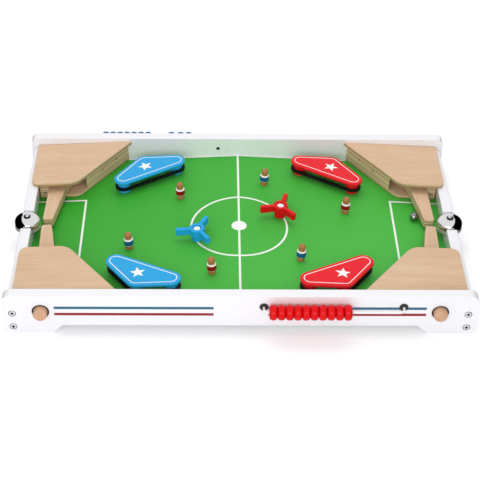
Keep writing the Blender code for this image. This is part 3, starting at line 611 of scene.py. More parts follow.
def make_metal(name, colour, roughness, streaks, dull_wall=0.0):
    """Bright metal with faint streaks from its polishing, and for a bell a duller wall under its dome."""
    finish = Finish(name)
    polish = finish.noise(streaks)
    below = BELL_CROWN - BELL_SHOULDER - finish.axes()[2]
    wall = finish.rise(below, -GAP, GAP) * dull_wall
    colour = finish.mix(polish, deeper(colour, 0.90), colour)
    dullness = roughness * 0.6 + polish * roughness * 0.8 + wall
    return finish.surface(colour, dullness, polish, 0.000004, metallic=1.0)


LACQUER = make_lacquer()
PITCH = make_pitch_paint()
LINE_PAINT = make_speckled("white_line_paint", 0.0007, shade(246, 248, 242), shade(254, 254, 250), 0.34, 0.10)
STRIPE_PAINT = {
    name: make_speckled(name + "_stripe", 0.0006, deeper(colour, 0.86), colour, 0.30, 0.08)
    for name, colour in (("teal", shade(38, 108, 136)), ("dark_red", shade(154, 10, 28)))
}
COVER_PLY = make_plywood("cover_plywood", COVER_TOP, 0.0046, 0.46, shade(178, 146, 106))
BLOCK_PLY = make_plywood("housing_plywood", COVER_UNDERSIDE, 0.0088, 0.84, shade(190, 156, 114))
FLIPPER_PLY = make_plywood("flipper_plywood", FLIPPER_TOP, 0.0040, 0.55, shade(176, 142, 102), "Y")
DOWEL_WOOD = make_dowel_wood()
BUMPER_PAINT = {
    "red": make_gloss_paint("red_paint", shade(240, 30, 44)),
    "blue": make_gloss_paint("blue_paint", shade(44, 170, 232)),
}
SPINNER_PAINT = {
    "red": make_gloss_paint("red_spinner_paint", shade(222, 14, 22), 0.30),
    "blue": make_gloss_paint("blue_spinner_paint", shade(36, 168, 230), 0.30),
}
PLAYER_PAINT = {
    "red": make_player_paint("red", shade(150, 8, 20)),
    "blue": make_player_paint("blue", shade(20, 92, 142)),
}
BEAD_PAINT = {
    "red": make_gloss_paint("red_bead_paint", shade(224, 8, 18), 0.20),
    "blue": make_gloss_paint("blue_bead_paint", shade(20, 110, 170), 0.20),
}
RUBBER = make_rubber()
PLASTIC = make_speckled("black_plastic", 0.0006, shade(14, 15, 16), shade(28, 30, 32), 0.30, 0.15, 0.00002)
CHROME = make_metal("chrome", (0.76, 0.76, 0.77, 1.0), 0.06, 0.006, 0.60)
STEEL = make_metal("bare_steel", (0.72, 0.72, 0.74, 1.0), 0.20, (0.0008, 0.0008, 0.0030))
# Painted shade: the ball's steel is far darker than bare steel, standing in for the dark surroundings that it
# reflects.
BALL_STEEL_PAINTED_DARK = make_metal("ball_steel", (0.30, 0.30, 0.32, 1.0), 0.07, 0.004)
ZINC = make_metal("bright_zinc", (0.96, 0.96, 0.96, 1.0), 0.30, (0.0008, 0.0008, 0.0030))
WHITE_WIRE = make_gloss_paint("white_wire", shade(244, 244, 244), 0.28)


# Shapes

LOOKS = bpy.data.collections.new("pinball_looks")
bpy.context.scene.collection.children.link(LOOKS)


def shown(name, mesh):
    made = bpy.data.objects.new(name, mesh)
    LOOKS.objects.link(made)
    return made


def staged(name, data):
    """An object of the studio."""
    made = bpy.data.objects.new(name, data)
    bpy.context.scene.collection.objects.link(made)
    return made


@contextmanager
def opened(mesh):
    """A mesh opened for changes, which are written back at the end."""
    work = bmesh.new()
    work.from_mesh(mesh)
    yield work
    work.to_mesh(mesh)
    work.free()


def settle(obj, reach=GAP / 100):
    """Turns an object with its modifiers into a plain mesh at the origin, its doubles merged."""
    bpy.context.view_layer.update()
    graph = bpy.context.evaluated_depsgraph_get()
    mesh = bpy.data.meshes.new_from_object(obj.evaluated_get(graph))
    mesh.transform(obj.matrix_world)
    name = obj.name
    bpy.data.objects.remove(obj, do_unlink=True)
    with opened(mesh) as work:
        if reach:
            bmesh.ops.remove_doubles(work, verts=work.verts, dist=reach)
            bmesh.ops.recalc_face_normals(work, faces=work.faces)
    mesh.name = name
    return shown(name, mesh)


def plate(name, outlines, low, high):
    """A flat piece between two heights: the first outline is its edge, and the others are its holes."""
    curve = bpy.data.curves.new(name, "CURVE")
    curve.dimensions = "2D"
    curve.fill_mode = "BOTH"
    curve.extrude = (high - low) / 2
    for outline in outlines:
        spline = curve.splines.new("POLY")
        spline.points.add(len(outline) - 1)
        for point, place in zip(spline.points, outline):
            point.co = (place[0], place[1], 0.0, 1.0)
        spline.use_cyclic_u = True
    shape = shown(name, curve)
    shape.location.z = (low + high) / 2
    made = settle(shape)
    limit = math.radians(FLAT_ANGLE)
    with opened(made.data) as work:
        bmesh.ops.dissolve_limit(work, angle_limit=limit, verts=work.verts, edges=work.edges)
    return made


def cut_by(obj, cutters):
    """Cuts a piece by others, which are taken away."""
    for cutter in cutters:
        cut = obj.modifiers.new("cut", "BOOLEAN")
        cut.operation = "DIFFERENCE"
        cut.solver = "EXACT"
        cut.object = cutter
    made = settle(obj)
    for cutter in cutters:
        bpy.data.objects.remove(cutter, do_unlink=True)
    return made


def smoothed(obj, sharp_angle):
    """Shades a piece smooth, save where its faces meet at a sharper angle."""
    obj.data.shade_smooth()
    obj.data.set_sharp_from_angle(angle=math.radians(sharp_angle))
    return obj


def soften(obj, width, segments=EDGE_STEPS, cutters=()):
    """Rounds the sharp edges of a piece, then cuts it, and smooths what is left between flat faces."""
    edge = obj.modifiers.new("soft_edges", "BEVEL")
    edge.width = width
    edge.segments = segments
    edge.limit_method = "ANGLE"
    edge.angle_limit = math.radians(SOFTENED_ANGLE)
    made = smoothed(cut_by(obj, cutters), SHARP_ANGLE)
    made.modifiers.new("even_shading", "WEIGHTED_NORMAL").keep_sharp = True
    return settle(made, 0.0)


def turned(name, profile, steps=ROUND_STEPS, ring=False):
    """A turned piece about Z from (radius, height) points that run down its outer side."""
    mesh = bpy.data.meshes.new(name)
    count = len(profile)
    edges = [(i, i + 1) for i in range(count - 1)]
    if ring:
        edges.append((count - 1, 0))
    mesh.from_pydata([(radius, 0.0, height) for radius, height in profile], edges, [])
    shape = shown(name, mesh)
    lathe = shape.modifiers.new("lathe", "SCREW")
    lathe.steps = steps
    lathe.render_steps = steps
    lathe.use_merge_vertices = True
    lathe.merge_threshold = GAP / 100
    return smoothed(settle(shape), TURNED_SHARP_ANGLE)


def joined(name, pieces):
    """Several meshes as one object."""
    mesh = bpy.data.meshes.new(name)
    with opened(mesh) as work:
        for piece in pieces:
            work.from_mesh(piece.data)
            bpy.data.objects.remove(piece, do_unlink=True)
    return shown(name, mesh)


def shifted(obj, matrix):
    """Moves the mesh of a piece. A mirror turns its faces out again."""
    obj.data.transform(matrix)
    if matrix.determinant() < 0:
        obj.data.flip_normals()
    return obj


def arc(centre, radius, start, sweep, steps=CORNER_STEPS):
    angles = [start + sweep * i / steps for i in range(steps + 1)]
    return [(centre[0] + radius * math.cos(a), centre[1] + radius * math.sin(a)) for a in angles]


def circle(centre, radius, steps=ROUND_STEPS):
    return arc(centre, radius, 0.0, math.tau, steps)[:-1]


def rounded(corners, steps=CORNER_STEPS):
    """A closed outline from (x, y, rounding) corners, where a rounding of 0 leaves a corner sharp."""
    points = []
    for i, (x, y, rounding) in enumerate(corners):
        here = Vector((x, y))
        if not rounding:
            points.append((x, y))
            continue
        back = (Vector(corners[i - 1][:2]) - here).normalized()
        onward = (Vector(corners[(i + 1) % len(corners)][:2]) - here).normalized()
        half = back.angle(onward) / 2
        centre = here + (back + onward).normalized() * (rounding / math.sin(half))
        first = here + back * (rounding / math.tan(half)) - centre
        last = here + onward * (rounding / math.tan(half)) - centre
        sweep = math.atan2(first.x * last.y - first.y * last.x, first.dot(last))
        points += arc(centre, rounding, math.atan2(first.y, first.x), sweep, steps)
    return points


def belt(centres, radius, steps=CORNER_STEPS):
    """The outline of a belt round equal circles, whose centres run anticlockwise."""
    points = []
    for i, centre in enumerate(centres):
        here = Vector(centre)
        back = here - Vector(centres[i - 1])
        onward = Vector(centres[(i + 1) % len(centres)]) - here
        sweep = math.atan2(back.x * onward.y - back.y * onward.x, back.dot(onward))
        points += arc(centre, radius, math.atan2(-back.x, back.y), sweep, steps)
    return points


def rectangle(low, high):
    return [low, (high[0], low[1]), high, (low[0], high[1])]


def box_round(middle, half_width, half_height):
    """A rectangle round a middle."""
    x, y = middle
    return rectangle((x - half_width, y - half_height), (x + half_width, y + half_height))


def mirrored(points, across, along):
    """Points of one corner of the game, as they lie in another."""
    return [(point[0] * across, point[1] * along, *point[2:]) for point in points]


def moved(x, y, z):
    return Matrix.Translation((x, y, z))


def half_matrix(side):
    """From the frame of one half of the playfield to the game's."""
    return moved(0.0, 0.0, CREST) @ Matrix.Rotation(side * TILT, 4, "Y")


UPRIGHT = Matrix.Rotation(math.pi / 2, 4, "X")


def corner_plate(name, outlines, low, high, corner, edge=0.0, steps=EDGE_STEPS):
    """A flat piece, drawn for the rear right corner, as it lies over the pitch in any corner."""
    across, along = CORNERS[corner]
    piece = plate(name, [mirrored(points, across, along) for points in outlines], low, high)
    if edge:
        piece = soften(piece, edge, steps)
    return shifted(piece, half_matrix(across))


def place(obj, body, slot, material, *nodes):
    """A finished piece: its material, the body that carries it and the CAD nodes it stands for."""
    obj.data.materials.clear()
    obj.data.materials.append(material)
    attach(obj, body)
    if nodes:
        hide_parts(*nodes)
    return obj


# Trees that repeat a part or follow a path


def new_tree(name, inputs):
    """A geometry tree with named inputs, and the fields that it reads from them."""
    tree = bpy.data.node_groups.new(name, "GeometryNodeTree")
    for socket, kind in {"Geometry": "NodeSocketGeometry", **inputs}.items():
        tree.interface.new_socket(socket, in_out="INPUT", socket_type=kind)
    tree.interface.new_socket("Geometry", in_out="OUTPUT", socket_type="NodeSocketGeometry")
    graph = Graph(tree)
    given = tree.nodes.new("NodeGroupInput")
    return graph, {socket.name: Field(graph, socket) for socket in given.outputs if socket.name}


def close_tree(graph, shape, finish):
    """Ends a tree: its instances are made real and take their finish."""
    real = graph.node("GeometryNodeRealizeInstances", sockets={"Geometry": shape})
    painted = graph.node("GeometryNodeSetMaterial", sockets={"Geometry": real, "Material": finish})
    graph.feed(graph.tree.nodes.new("NodeGroupOutput").inputs["Geometry"], painted)
    return graph.tree


def make_fastener_tree():
    """Sets a part on every point, facing the way that the point says."""
    graph, given = new_tree("set_fasteners", {"Part": "NodeSocketObject", "Finish": "NodeSocketMaterial"})
    facing = graph.node("GeometryNodeInputNamedAttribute", {"data_type": "FLOAT_VECTOR"}, {"Name": "facing"})
    turn = graph.node("FunctionNodeAlignRotationToVector", {"axis": "Z"}, {"Vector": facing})
    part = graph.node("GeometryNodeObjectInfo", sockets={"Object": given["Part"]}, out="Geometry")
    sockets = {"Points": given["Geometry"], "Instance": part, "Rotation": turn}
    return close_tree(graph, graph.node("GeometryNodeInstanceOnPoints", sockets=sockets), given["Finish"])


def make_row_tree():
    """Threads a number of equal parts on a straight line."""
    inputs = {
        "Part": "NodeSocketObject",
        "Count": "NodeSocketInt",
        "First": "NodeSocketVector",
        "Step": "NodeSocketVector",
        "Finish": "NodeSocketMaterial",
    }
    graph, given = new_tree("thread_row", inputs)
    sockets = {"Count": given["Count"], "Start Location": given["First"], "Offset": given["Step"]}
    line = graph.node("GeometryNodeMeshLine", {"mode": "OFFSET"}, sockets)
    part = graph.node("GeometryNodeObjectInfo", sockets={"Object": given["Part"]}, out="Geometry")
    row = graph.node("GeometryNodeInstanceOnPoints", sockets={"Points": line, "Instance": part})
    return close_tree(graph, row, given["Finish"])


def make_wire_tree():
    """Draws a round wire along the edges of a path."""
    inputs = {"Radius": "NodeSocketFloat", "Finish": "NodeSocketMaterial"}
    graph, given = new_tree("draw_wire", inputs)
    path = graph.node("GeometryNodeMeshToCurve", sockets={"Mesh": given["Geometry"]})
    sockets = {"Resolution": SMALL_STEPS // 2, "Radius": given["Radius"]}
    section = graph.node("GeometryNodeCurvePrimitiveCircle", {"mode": "RADIUS"}, sockets)
    sockets = {"Curve": path, "Profile Curve": section, "Fill Caps": True}
    return close_tree(graph, graph.node("GeometryNodeCurveToMesh", sockets=sockets), given["Finish"])


FASTENER_TREE = make_fastener_tree()
ROW_TREE = make_row_tree()
WIRE_TREE = make_wire_tree()


def grown(name, mesh, tree, values):
    """Runs a tree on a mesh and turns what it makes into a plain mesh."""
    obj = shown(name, mesh)
    step = obj.modifiers.new(tree.name, "NODES")
    step.node_group = tree
    for item in tree.interface.items_tree:
        if item.in_out == "INPUT" and item.name in values:
            step[item.identifier] = values[item.name]
    return settle(obj, 0.0)


def set_parts(name, part, spots, finish):
    """One mesh of equal parts at ((place), (facing)) spots. The part itself is taken away."""
    mesh = bpy.data.meshes.new(name)
    mesh.from_pydata([spot for spot, _ in spots], [], [])
    facing = mesh.attributes.new("facing", "FLOAT_VECTOR", "POINT")
    for value, (_, way) in zip(facing.data, spots):
        value.vector = way
    made = grown(name, mesh, FASTENER_TREE, {"Part": part, "Finish": finish})
    bpy.data.objects.remove(part, do_unlink=True)
    return made


def draw_wire(name, points, radius, finish):
    mesh = bpy.data.meshes.new(name)
    mesh.from_pydata(points, [(i, i + 1) for i in range(len(points) - 1)], [])
    return smoothed(grown(name, mesh, WIRE_TREE, {"Radius": radius, "Finish": finish}), SMOOTH_SHARP_ANGLE)


# Frame


def peaked_outline(clearance):
    """The section of the playfield, or with a clearance of the groove that takes it."""
    end = END_INNER - GAP + clearance
    rise = clearance + BOARD_THICKNESS / 2
    middle = BOARD_THICKNESS / 2
    crest = ((-end, BOARD_END_HEIGHT), (0.0, CREST), (end, BOARD_END_HEIGHT))
    upper = [(x, z - middle + rise) for x, z in crest]
    lower = [(x, z - 2 * rise) for x, z in reversed(upper)]
    return upper + lower


def make_long_rail(name, side):
    """A long rail with rounded edges, two feet, two button holes and two holes for the score rod."""
    foot = RAIL_END - FOOT_LENGTH
    arch = foot - ARCH_RUN
    corners = [
        (-RAIL_END, 0.0, FOOT_ROUNDING),
        (-foot, 0.0, FOOT_ROUNDING),
        (-arch, ARCH_HEIGHT, ARCH_ROUNDING),
        (arch, ARCH_HEIGHT, ARCH_ROUNDING),
        (foot, 0.0, FOOT_ROUNDING),
        (RAIL_END, 0.0, FOOT_ROUNDING),
        (RAIL_END, RAIL_TOP, RAIL_CORNER),
        (-RAIL_END, RAIL_TOP, RAIL_CORNER),
    ]
    holes = [circle((hand * BUTTON_PLACE, BUTTON_MIDDLE.z), BUTTON_HOLE_RADIUS) for hand in (-1, 1)]
    outlines = [rounded(corners), *holes]
    rail = plate(name + "_look", outlines, -RAIL_THICKNESS / 2, RAIL_THICKNESS / 2)
    rail = shifted(rail, moved(0.0, side * RAIL_MIDDLE, 0.0) @ UPRIGHT)
    depth = sorted((side * (INNER_FACE - OVERRUN), side * (INNER_FACE + GROOVE_DEPTH)))
    cutters = [shifted(plate("groove", [peaked_outline(GAP)], -depth[1], -depth[0]), UPRIGHT)]
    for column in (ROD_NEAR, ROD_FAR):
        outline = circle((-side * column, ROD_HEIGHT), ROD_RADIUS + GAP, SMALL_STEPS)
        cutters.append(shifted(plate("drill", [outline], -OUTER_FACE * 2, OUTER_FACE * 2), UPRIGHT))
    place(soften(rail, RAIL_EDGE, EDGE_STEPS, cutters), "table", "white_lacquer", LACQUER, name)


def make_hole_liners(rail, side):
    """Black rings that fill the gap round each push button and make it dark, set back a little from the
    rail's face.
    """
    rings = []
    rows = sorted((-side * (INNER_FACE + LINER_CLEARANCE), -side * (OUTER_FACE - LINER_INSET)))
    for hand in (-1, 1):
        radii = (BUTTON_HOLE_RADIUS - GAP / 10, BUTTON_RADIUS + RUNNING_GAP)
        outlines = [circle((hand * BUTTON_PLACE, BUTTON_MIDDLE.z), radius) for radius in radii]
        rings.append(plate("liner", outlines, *rows))
    liners = shifted(joined(rail + "_button_hole_liners", rings), UPRIGHT)
    place(liners, "table", "black_rubber", PLASTIC)


def make_stripes(name, side, height, finish, slot):
    """Two painted stripes on a long rail's outer face, with a bare stretch between them."""
    half = STRIPE_WIDTH / 2
    outlines = [rectangle((start, height - half), (end, height + half)) for start, end in STRIPE_SPANS]
    stripes = [plate("stripe", [outline], -PAINT_THICKNESS, PAINT_THICKNESS) for outline in outlines]
    turn = Matrix.Rotation(math.pi if side > 0 else 0.0, 4, "Z") @ moved(0.0, -OUTER_FACE, 0.0)
    place(shifted(joined(name, stripes), turn @ UPRIGHT), "table", slot, finish)


def make_end_rail(name, side):
    """An end rail, with a gap for the goal down to the level of the playfield."""
    half = INNER_FACE - GAP
    goal = GOAL_WIDTH / 2
    high = END_RAIL_HIGH.z
    corners = [
        (-half, END_RAIL_LOW.z, 0.0),
        (half, END_RAIL_LOW.z, 0.0),
        (half, high, 0.0),
        (goal, high, GOAL_ROUNDING),
        (goal, GOAL_SILL, GOAL_ROUNDING),
        (-goal, GOAL_SILL, GOAL_ROUNDING),
        (-goal, high, GOAL_ROUNDING),
        (-half, high, 0.0),
    ]
    half_thickness = (END_OUTER - END_INNER) / 2
    rail = plate(name + "_look", [rounded(corners)], -half_thickness, half_thickness)
    turn = Matrix.Rotation(math.pi / 2, 4, "Z") @ UPRIGHT
    rail = shifted(rail, moved(side * END_MIDDLE, 0.0, 0.0) @ turn)
    place(soften(rail, END_RAIL_EDGE), "table", "white_lacquer", LACQUER, name)


def folded(obj):
    """Lays a flat piece over the playfield's crest."""
    with opened(obj.data) as work:
        parts = [*work.verts, *work.edges, *work.faces]
        bmesh.ops.bisect_plane(work, geom=parts, dist=GAP / 100, plane_co=(0, 0, 0), plane_no=(1, 0, 0))
        for vert in work.verts:
            x, y, lift = vert.co
            vert.co = (x * math.cos(TILT), y, CREST - abs(x) * math.sin(TILT) + lift)
    return obj


def make_pitch_lines():
    """The pitch's white lines, folded over the crest: each sort is a hair higher than the last."""
    half = LINE_WIDTH / 2

    def box_side(spread):
        """One edge of the goal box's line, that far outside its middle."""
        column = BOX_FROM_CREST - spread
        row = BOX_HALF_WIDTH + spread
        return [(END_INNER, row), (column, row), (column, -row), (END_INNER, -row)]

    sorts = [[box_round((0.0, side * INNER_FACE), END_INNER, TOUCHLINE_WIDTH)] for side in (-1, 1)]
    sorts.append([box_round((0.0, 0.0), half, INNER_FACE)])
    box = box_side(half) + box_side(-half)[::-1]
    sorts += [[mirrored(box, side, 1)] for side in (-1, 1)]
    radii = (CIRCLE_RADIUS + half, CIRCLE_RADIUS - half)
    sorts.append([circle((0.0, 0.0), radius, CENTRE_CIRCLE_STEPS) for radius in radii])
    sorts.append([circle((0.0, 0.0), SPOT_RADIUS)])
    lines = []
    for number, outlines in enumerate(sorts):
        lift = PAINT_THICKNESS * (1 + number / len(sorts))
        lines.append(plate("line", outlines, -PAINT_THICKNESS, lift))
    place(folded(joined("pitch_lines", lines)), "table", "green_pitch", LINE_PAINT)


def cross_outline():
    """The cross recess of a screw: four equal arms, from one arm's corners turned round."""
    half = CROSS_LENGTH / 2
    bar = CROSS_WIDTH / 2
    cross = []
    for i in range(4):
        turn = Matrix.Rotation(math.pi / 2 * i, 2)
        for x, y, rounding in ((half, -bar, bar / 2), (half, bar, bar / 2), (bar, bar, 0.0)):
            cross.append((*(turn @ Vector((x, y))), rounding))
    return rounded(cross, 2)


def make_screw_head():
    """A countersunk head with a cross recess, its face along +Z."""
    dome = arc((0.0, 0.0), SCREW_HEAD_RADIUS, math.pi / 2, -math.pi / 2, SMALL_BEND_STEPS + 1)
    profile = [(x, y / SCREW_HEAD_RADIUS * SCREW_HEAD_RISE) for x, y in dome]
    profile += [(SCREW_HEAD_RADIUS, -SCREW_SINK), (0.0, -SCREW_SINK)]
    head = turned("screw_head", profile, SMALL_STEPS)
    cutter = plate("cross", [cross_outline()], SCREW_HEAD_RISE - CROSS_DEPTH, OVERRUN)
    return smoothed(cut_by(head, [cutter]), TURNED_SHARP_ANGLE)


def flange(name, radius, proud, bore):
    """A round rim with a soft edge, its face along +Z."""
    edge = proud / 2
    bend = arc((radius - edge, proud - edge), edge, math.pi / 2, -math.pi / 2, SMALL_BEND_STEPS)
    return turned(name, [(bore, proud), *bend, (radius, -proud), (bore, -proud)], SMALL_STEPS, ring=True)


def disc(name, radius, proud):
    profile = [(0.0, proud), (radius - proud, proud), (radius, 0.0), (radius, -proud), (0.0, -proud)]
    return turned(name, profile, SMALL_STEPS)


def make_fasteners():
    """The frame's screws, each with painted shade in its cross and round its head, the eyelets at the score
    rods' outer ends, dark discs of painted shade where the rods go into the rails' inner faces, and the
    housings' nails.
    """
    screws = []
    outside = []
    inside = []
    for side in (-1, 1):
        outwards = (0.0, float(side), 0.0)
        for hand in (-1, 1):
            for height in SCREW_HEIGHTS:
                screws.append(((hand * SCREW_PLACE, side * OUTER_FACE, height), outwards))
        for column in (ROD_NEAR, ROD_FAR):
            outside.append(((-side * column, side * OUTER_FACE, ROD_HEIGHT), outwards))
            inside.append(((-side * column, side * INNER_FACE, ROD_HEIGHT), (0.0, float(-side), 0.0)))
    # Painted shade: a black floor in each cross recess, and a black ring round each head
    low = SCREW_HEAD_RISE - CROSS_DEPTH
    recess = plate("cross_floor", [cross_outline()], low, low + GAP)
    rim = disc("rim", SCREW_HEAD_RADIUS + SCREW_SHADE_RING, GAP / 4)
    eyelet = flange("eyelet", EYELET_RADIUS, EYELET_PROUD, ROD_RADIUS + GAP / 2)
    # Painted shade: a dark disc on each inner face, where one looks into a rod's hole
    plug = disc("plug", ROD_HOLE_SHADE_RADIUS, ROD_HOLE_SHADE_PROUD)
    nail = disc("nail", NAIL_RADIUS, NAIL_PROUD)
    for name, part, spots, slot, finish in (
        ("frame_screws", make_screw_head(), screws, "bare_steel", ZINC),
        ("frame_screw_recesses", recess, screws, "black_rubber", PLASTIC),
        ("frame_screw_holes", rim, screws, "black_rubber", PLASTIC),
        ("score_rod_eyelets", eyelet, outside, "black_rubber", PLASTIC),
        ("score_rod_plugs", plug, inside, "black_rubber", PLASTIC),
        ("housing_nails", nail, nail_spots(), "bare_steel", PLASTIC),
    ):
        place(set_parts(name, part, spots, finish), "table", slot, finish)


# Corner housings


def slant_point(inset, row=None, column=None):
    """Where a line parallel to the cover's slanted edge, and inside it, meets a row or a column."""
    start = Vector((COVER_TIP, HOUSING_BACK))
    course = (Vector((COVER_CORNER, COVER_MOUTH)) - start).normalized()
    start = start + Vector((-course.y, course.x)) * inset
    if row is not None:
        reach = (row - start.y) / course.y
    else:
        reach = (column - start.x) / course.x
    return tuple(start + course * reach)


def flipper_outer_edge(row):
    """The column of the flipper's outer edge at a row."""
    share = (HEEL - row) / (HEEL - FLIPPER_TIP)
    return FLIPPER_ROOT_OUTER + (FLIPPER_TIP_OUTER - FLIPPER_ROOT_OUTER) * share


NAIL_SHARES = (0.30, 0.62)
NAIL_HEIGHT_SHARES = (0.66, 0.60)


def nail_spots():
    """Two nails in each slanted wall and one in each stop, with the way that they face."""
    spots = []
    for across, along in CORNERS.values():
        matrix = half_matrix(across)
        start = Vector(slant_point(WALL_INSET, row=HOUSING_BACK))
        end = Vector(slant_point(WALL_INSET, column=WALL_END))
        course = (end - start).normalized()
        out = Vector((course.y, -course.x))
        for share, height_share in zip(NAIL_SHARES, NAIL_HEIGHT_SHARES):
            spot = start + (end - start) * share
            spot = Vector((spot.x * across, spot.y * along, COVER_UNDERSIDE * height_share))
            way = matrix.to_3x3() @ Vector((out.x * across, out.y * along, 0.0))
            spots.append((matrix @ spot, way))
        column = (STOP_BACK + flipper_outer_edge(BASE_MOUTH)) / 2
        stop = Vector((column * across, BASE_MOUTH * along, BASE_TOP * 2))
        spots.append((matrix @ stop, Vector((0.0, -float(along), 0.0))))
    return spots


def make_cover(corner):
    outline = rounded(
        [
            (COVER_TIP, HOUSING_BACK, 0.0),
            (COVER_CORNER, COVER_MOUTH, COVER_INNER_ROUNDING),
            (COVER_OUTER, COVER_MOUTH, COVER_OUTER_ROUNDING),
            (COVER_OUTER, HOUSING_BACK, 0.0),
        ],
        WIDE_CORNER_STEPS,
    )
    cover = corner_plate("corner_cover_" + corner, [outline], COVER_UNDERSIDE, COVER_TOP, corner, COVER_EDGE)
    place(cover, "table", "beech_plywood", COVER_PLY, "cover_" + corner)


def make_housing(corner):
    """The base plate, with the slanted wall, the flipper's stop and the pivot dowel that stand on it."""
    top = COVER_UNDERSIDE - GAP
    base = rounded(
        [
            (*slant_point(BASE_INSET, row=HOUSING_BACK), 0.0),
            (*slant_point(BASE_INSET, row=BASE_MOUTH), BASE_ROUNDING),
            (STOP_BACK, BASE_MOUTH, 0.0),
            (STOP_BACK, HOUSING_BACK, 0.0),
        ],
        WIDE_CORNER_STEPS,
    )
    wall = [
        slant_point(WALL_INSET, row=HOUSING_BACK),
        slant_point(WALL_INSET, column=WALL_END),
        slant_point(WALL_INSET + WALL_THICKNESS, column=WALL_END),
        slant_point(WALL_INSET + WALL_THICKNESS, row=HOUSING_BACK),
    ]
    stop_front = flipper_outer_edge(BASE_MOUTH) + STOP_CLEARANCE
    stop = rectangle((stop_front, BASE_MOUTH), (STOP_BACK, BASE_MOUTH + STOP_LENGTH))
    pivot = circle((PIVOT_OUT, PIVOT_IN), PIVOT_RADIUS, SMALL_STEPS)
    for name, outline, low, high, finish, nodes in (
        ("base_plate_", base, GAP, BASE_TOP, COVER_PLY, ["housing_" + corner]),
        ("wall_block_", wall, BASE_TOP, top, BLOCK_PLY, []),
        ("stop_block_", stop, BASE_TOP, top, BLOCK_PLY, []),
        ("pivot_dowel_", pivot, BASE_TOP, top, DOWEL_WOOD, []),
    ):
        piece = corner_plate(name + corner, [outline], low, high, corner, BLOCK_EDGE, COARSE_EDGE_STEPS)
        place(piece, "table", "beech_plywood", finish, *nodes)


def make_flipper(corner):
    """A tapered bat of layered beech, with a narrow neck and an eye on the pivot dowel."""
    neck = Vector(FLIPPER_WAIST) - Vector((PIVOT_OUT, PIVOT_IN))
    tangent = math.atan2(neck.y, neck.x) - math.acos(-EYE_RADIUS / neck.length)
    sweep = math.tau + tangent - math.pi / 2
    eye = arc((PIVOT_OUT, PIVOT_IN), EYE_RADIUS, math.pi / 2, sweep, EYE_STEPS)
    tip = rounded(
        [
            (*eye[-1], 0.0),
            (*FLIPPER_WAIST, FLIPPER_WAIST_ROUNDING),
            (FLIPPER_TIP_INNER, FLIPPER_TIP, FLIPPER_TIP_ROUNDING),
            (FLIPPER_TIP_OUTER, FLIPPER_TIP, FLIPPER_TIP_ROUNDING),
            (FLIPPER_ROOT_OUTER, HEEL, FLIPPER_ROOT_ROUNDING),
        ]
    )[1:]
    bore = circle((PIVOT_OUT, PIVOT_IN), PIVOT_RADIUS + RUNNING_GAP, SMALL_STEPS)
    low = FLIPPER_TOP - FLIPPER_THICKNESS
    bat = corner_plate("bat_" + corner, [eye + tip, bore], low, FLIPPER_TOP, corner, FLIPPER_EDGE)
    place(bat, corner + "_flipper", "beech_plywood", FLIPPER_PLY, "flipper_" + corner)


def make_spring(corner):
    """The torsion spring round the pivot, between its two legs."""
    across, along = CORNERS[corner]
    low = FLIPPER_TOP + RUNNING_GAP + SPRING_WIRE / 2
    coil = []
    for i in range(round(SPRING_TURNS * SPRING_STEPS) + 1):
        angle = math.pi - math.tau * i / SPRING_STEPS
        height = low + SPRING_RISE * i / SPRING_STEPS
        coil.append((SPRING_RADIUS * math.cos(angle), SPRING_RADIUS * math.sin(angle), height))
    lower_leg = (coil[0][0], -SPRING_LEG, coil[0][2])
    upper_leg = (GAP - SWING_ROOM, coil[-1][1], coil[-1][2])
    route = [(PIVOT_OUT + x, PIVOT_IN + y, z) for x, y, z in (lower_leg, *coil, upper_leg)]
    spring = draw_wire("torsion_spring_" + corner, mirrored(route, across, along), SPRING_WIRE / 2, STEEL)
    spring = shifted(spring, half_matrix(across))
    place(spring, "table", "bare_steel", STEEL, "return_spring_" + corner)


def make_button(corner):
    """A dowel with a domed end, its collar inside the rail, and the nose that pushes the flipper."""
    across, along = CORNERS[corner]
    nose = HEEL + RUNNING_GAP
    edge_middle = (BUTTON_RADIUS - BUTTON_EDGE, BUTTON_OUTER - BUTTON_EDGE)
    dome = arc(edge_middle, BUTTON_EDGE, math.pi / 2, -math.pi / 2, BEND_STEPS)
    tip = arc((0.0, nose + NOSE_RADIUS), NOSE_RADIUS, NOSE_START, -math.pi / 2 - NOSE_START, BEND_STEPS)
    profile = [(0.0, BUTTON_OUTER), *dome, (BUTTON_RADIUS, nose + NOSE_LENGTH), *tip]
    stand = moved(across * BUTTON_PLACE, 0.0, BUTTON_MIDDLE.z)
    dowel = turned("button_dowel_" + corner, profile)
    dowel = shifted(dowel, stand @ Matrix.Rotation(-along * math.pi / 2, 4, "X"))
    body = corner + "_button"
    place(dowel, body, "beech_dowel", DOWEL_WOOD, "push_button_" + corner)
    half_width = BUTTON_HOLE_RADIUS + COLLAR_LAP
    half_height = (COVER_UNDERSIDE - BASE_TOP) / 2 - COLLAR_CLEARANCE
    middle = (0.0, along * (HOUSING_BACK - COLLAR_THICKNESS / 2))
    outline = box_round(middle, half_width, COLLAR_THICKNESS / 2)
    collar = plate("button_collar_" + corner, [outline], -half_height, half_height)
    collar = shifted(soften(collar, COLLAR_EDGE, COARSE_EDGE_STEPS), stand)
    place(collar, body, "beech_dowel", DOWEL_WOOD)


# Playfield furniture


def star_outline():
    points = []
    for i in range(2 * STAR_TIPS):
        radius = STAR_RADIUS * STAR_WAIST_SHARE if i % 2 else STAR_RADIUS
        angle = math.radians(STAR_TURN) + math.pi * i / STAR_TIPS
        points.append((STAR_PLACE[0] - radius * math.cos(angle), STAR_PLACE[1] + radius * math.sin(angle)))
    return points


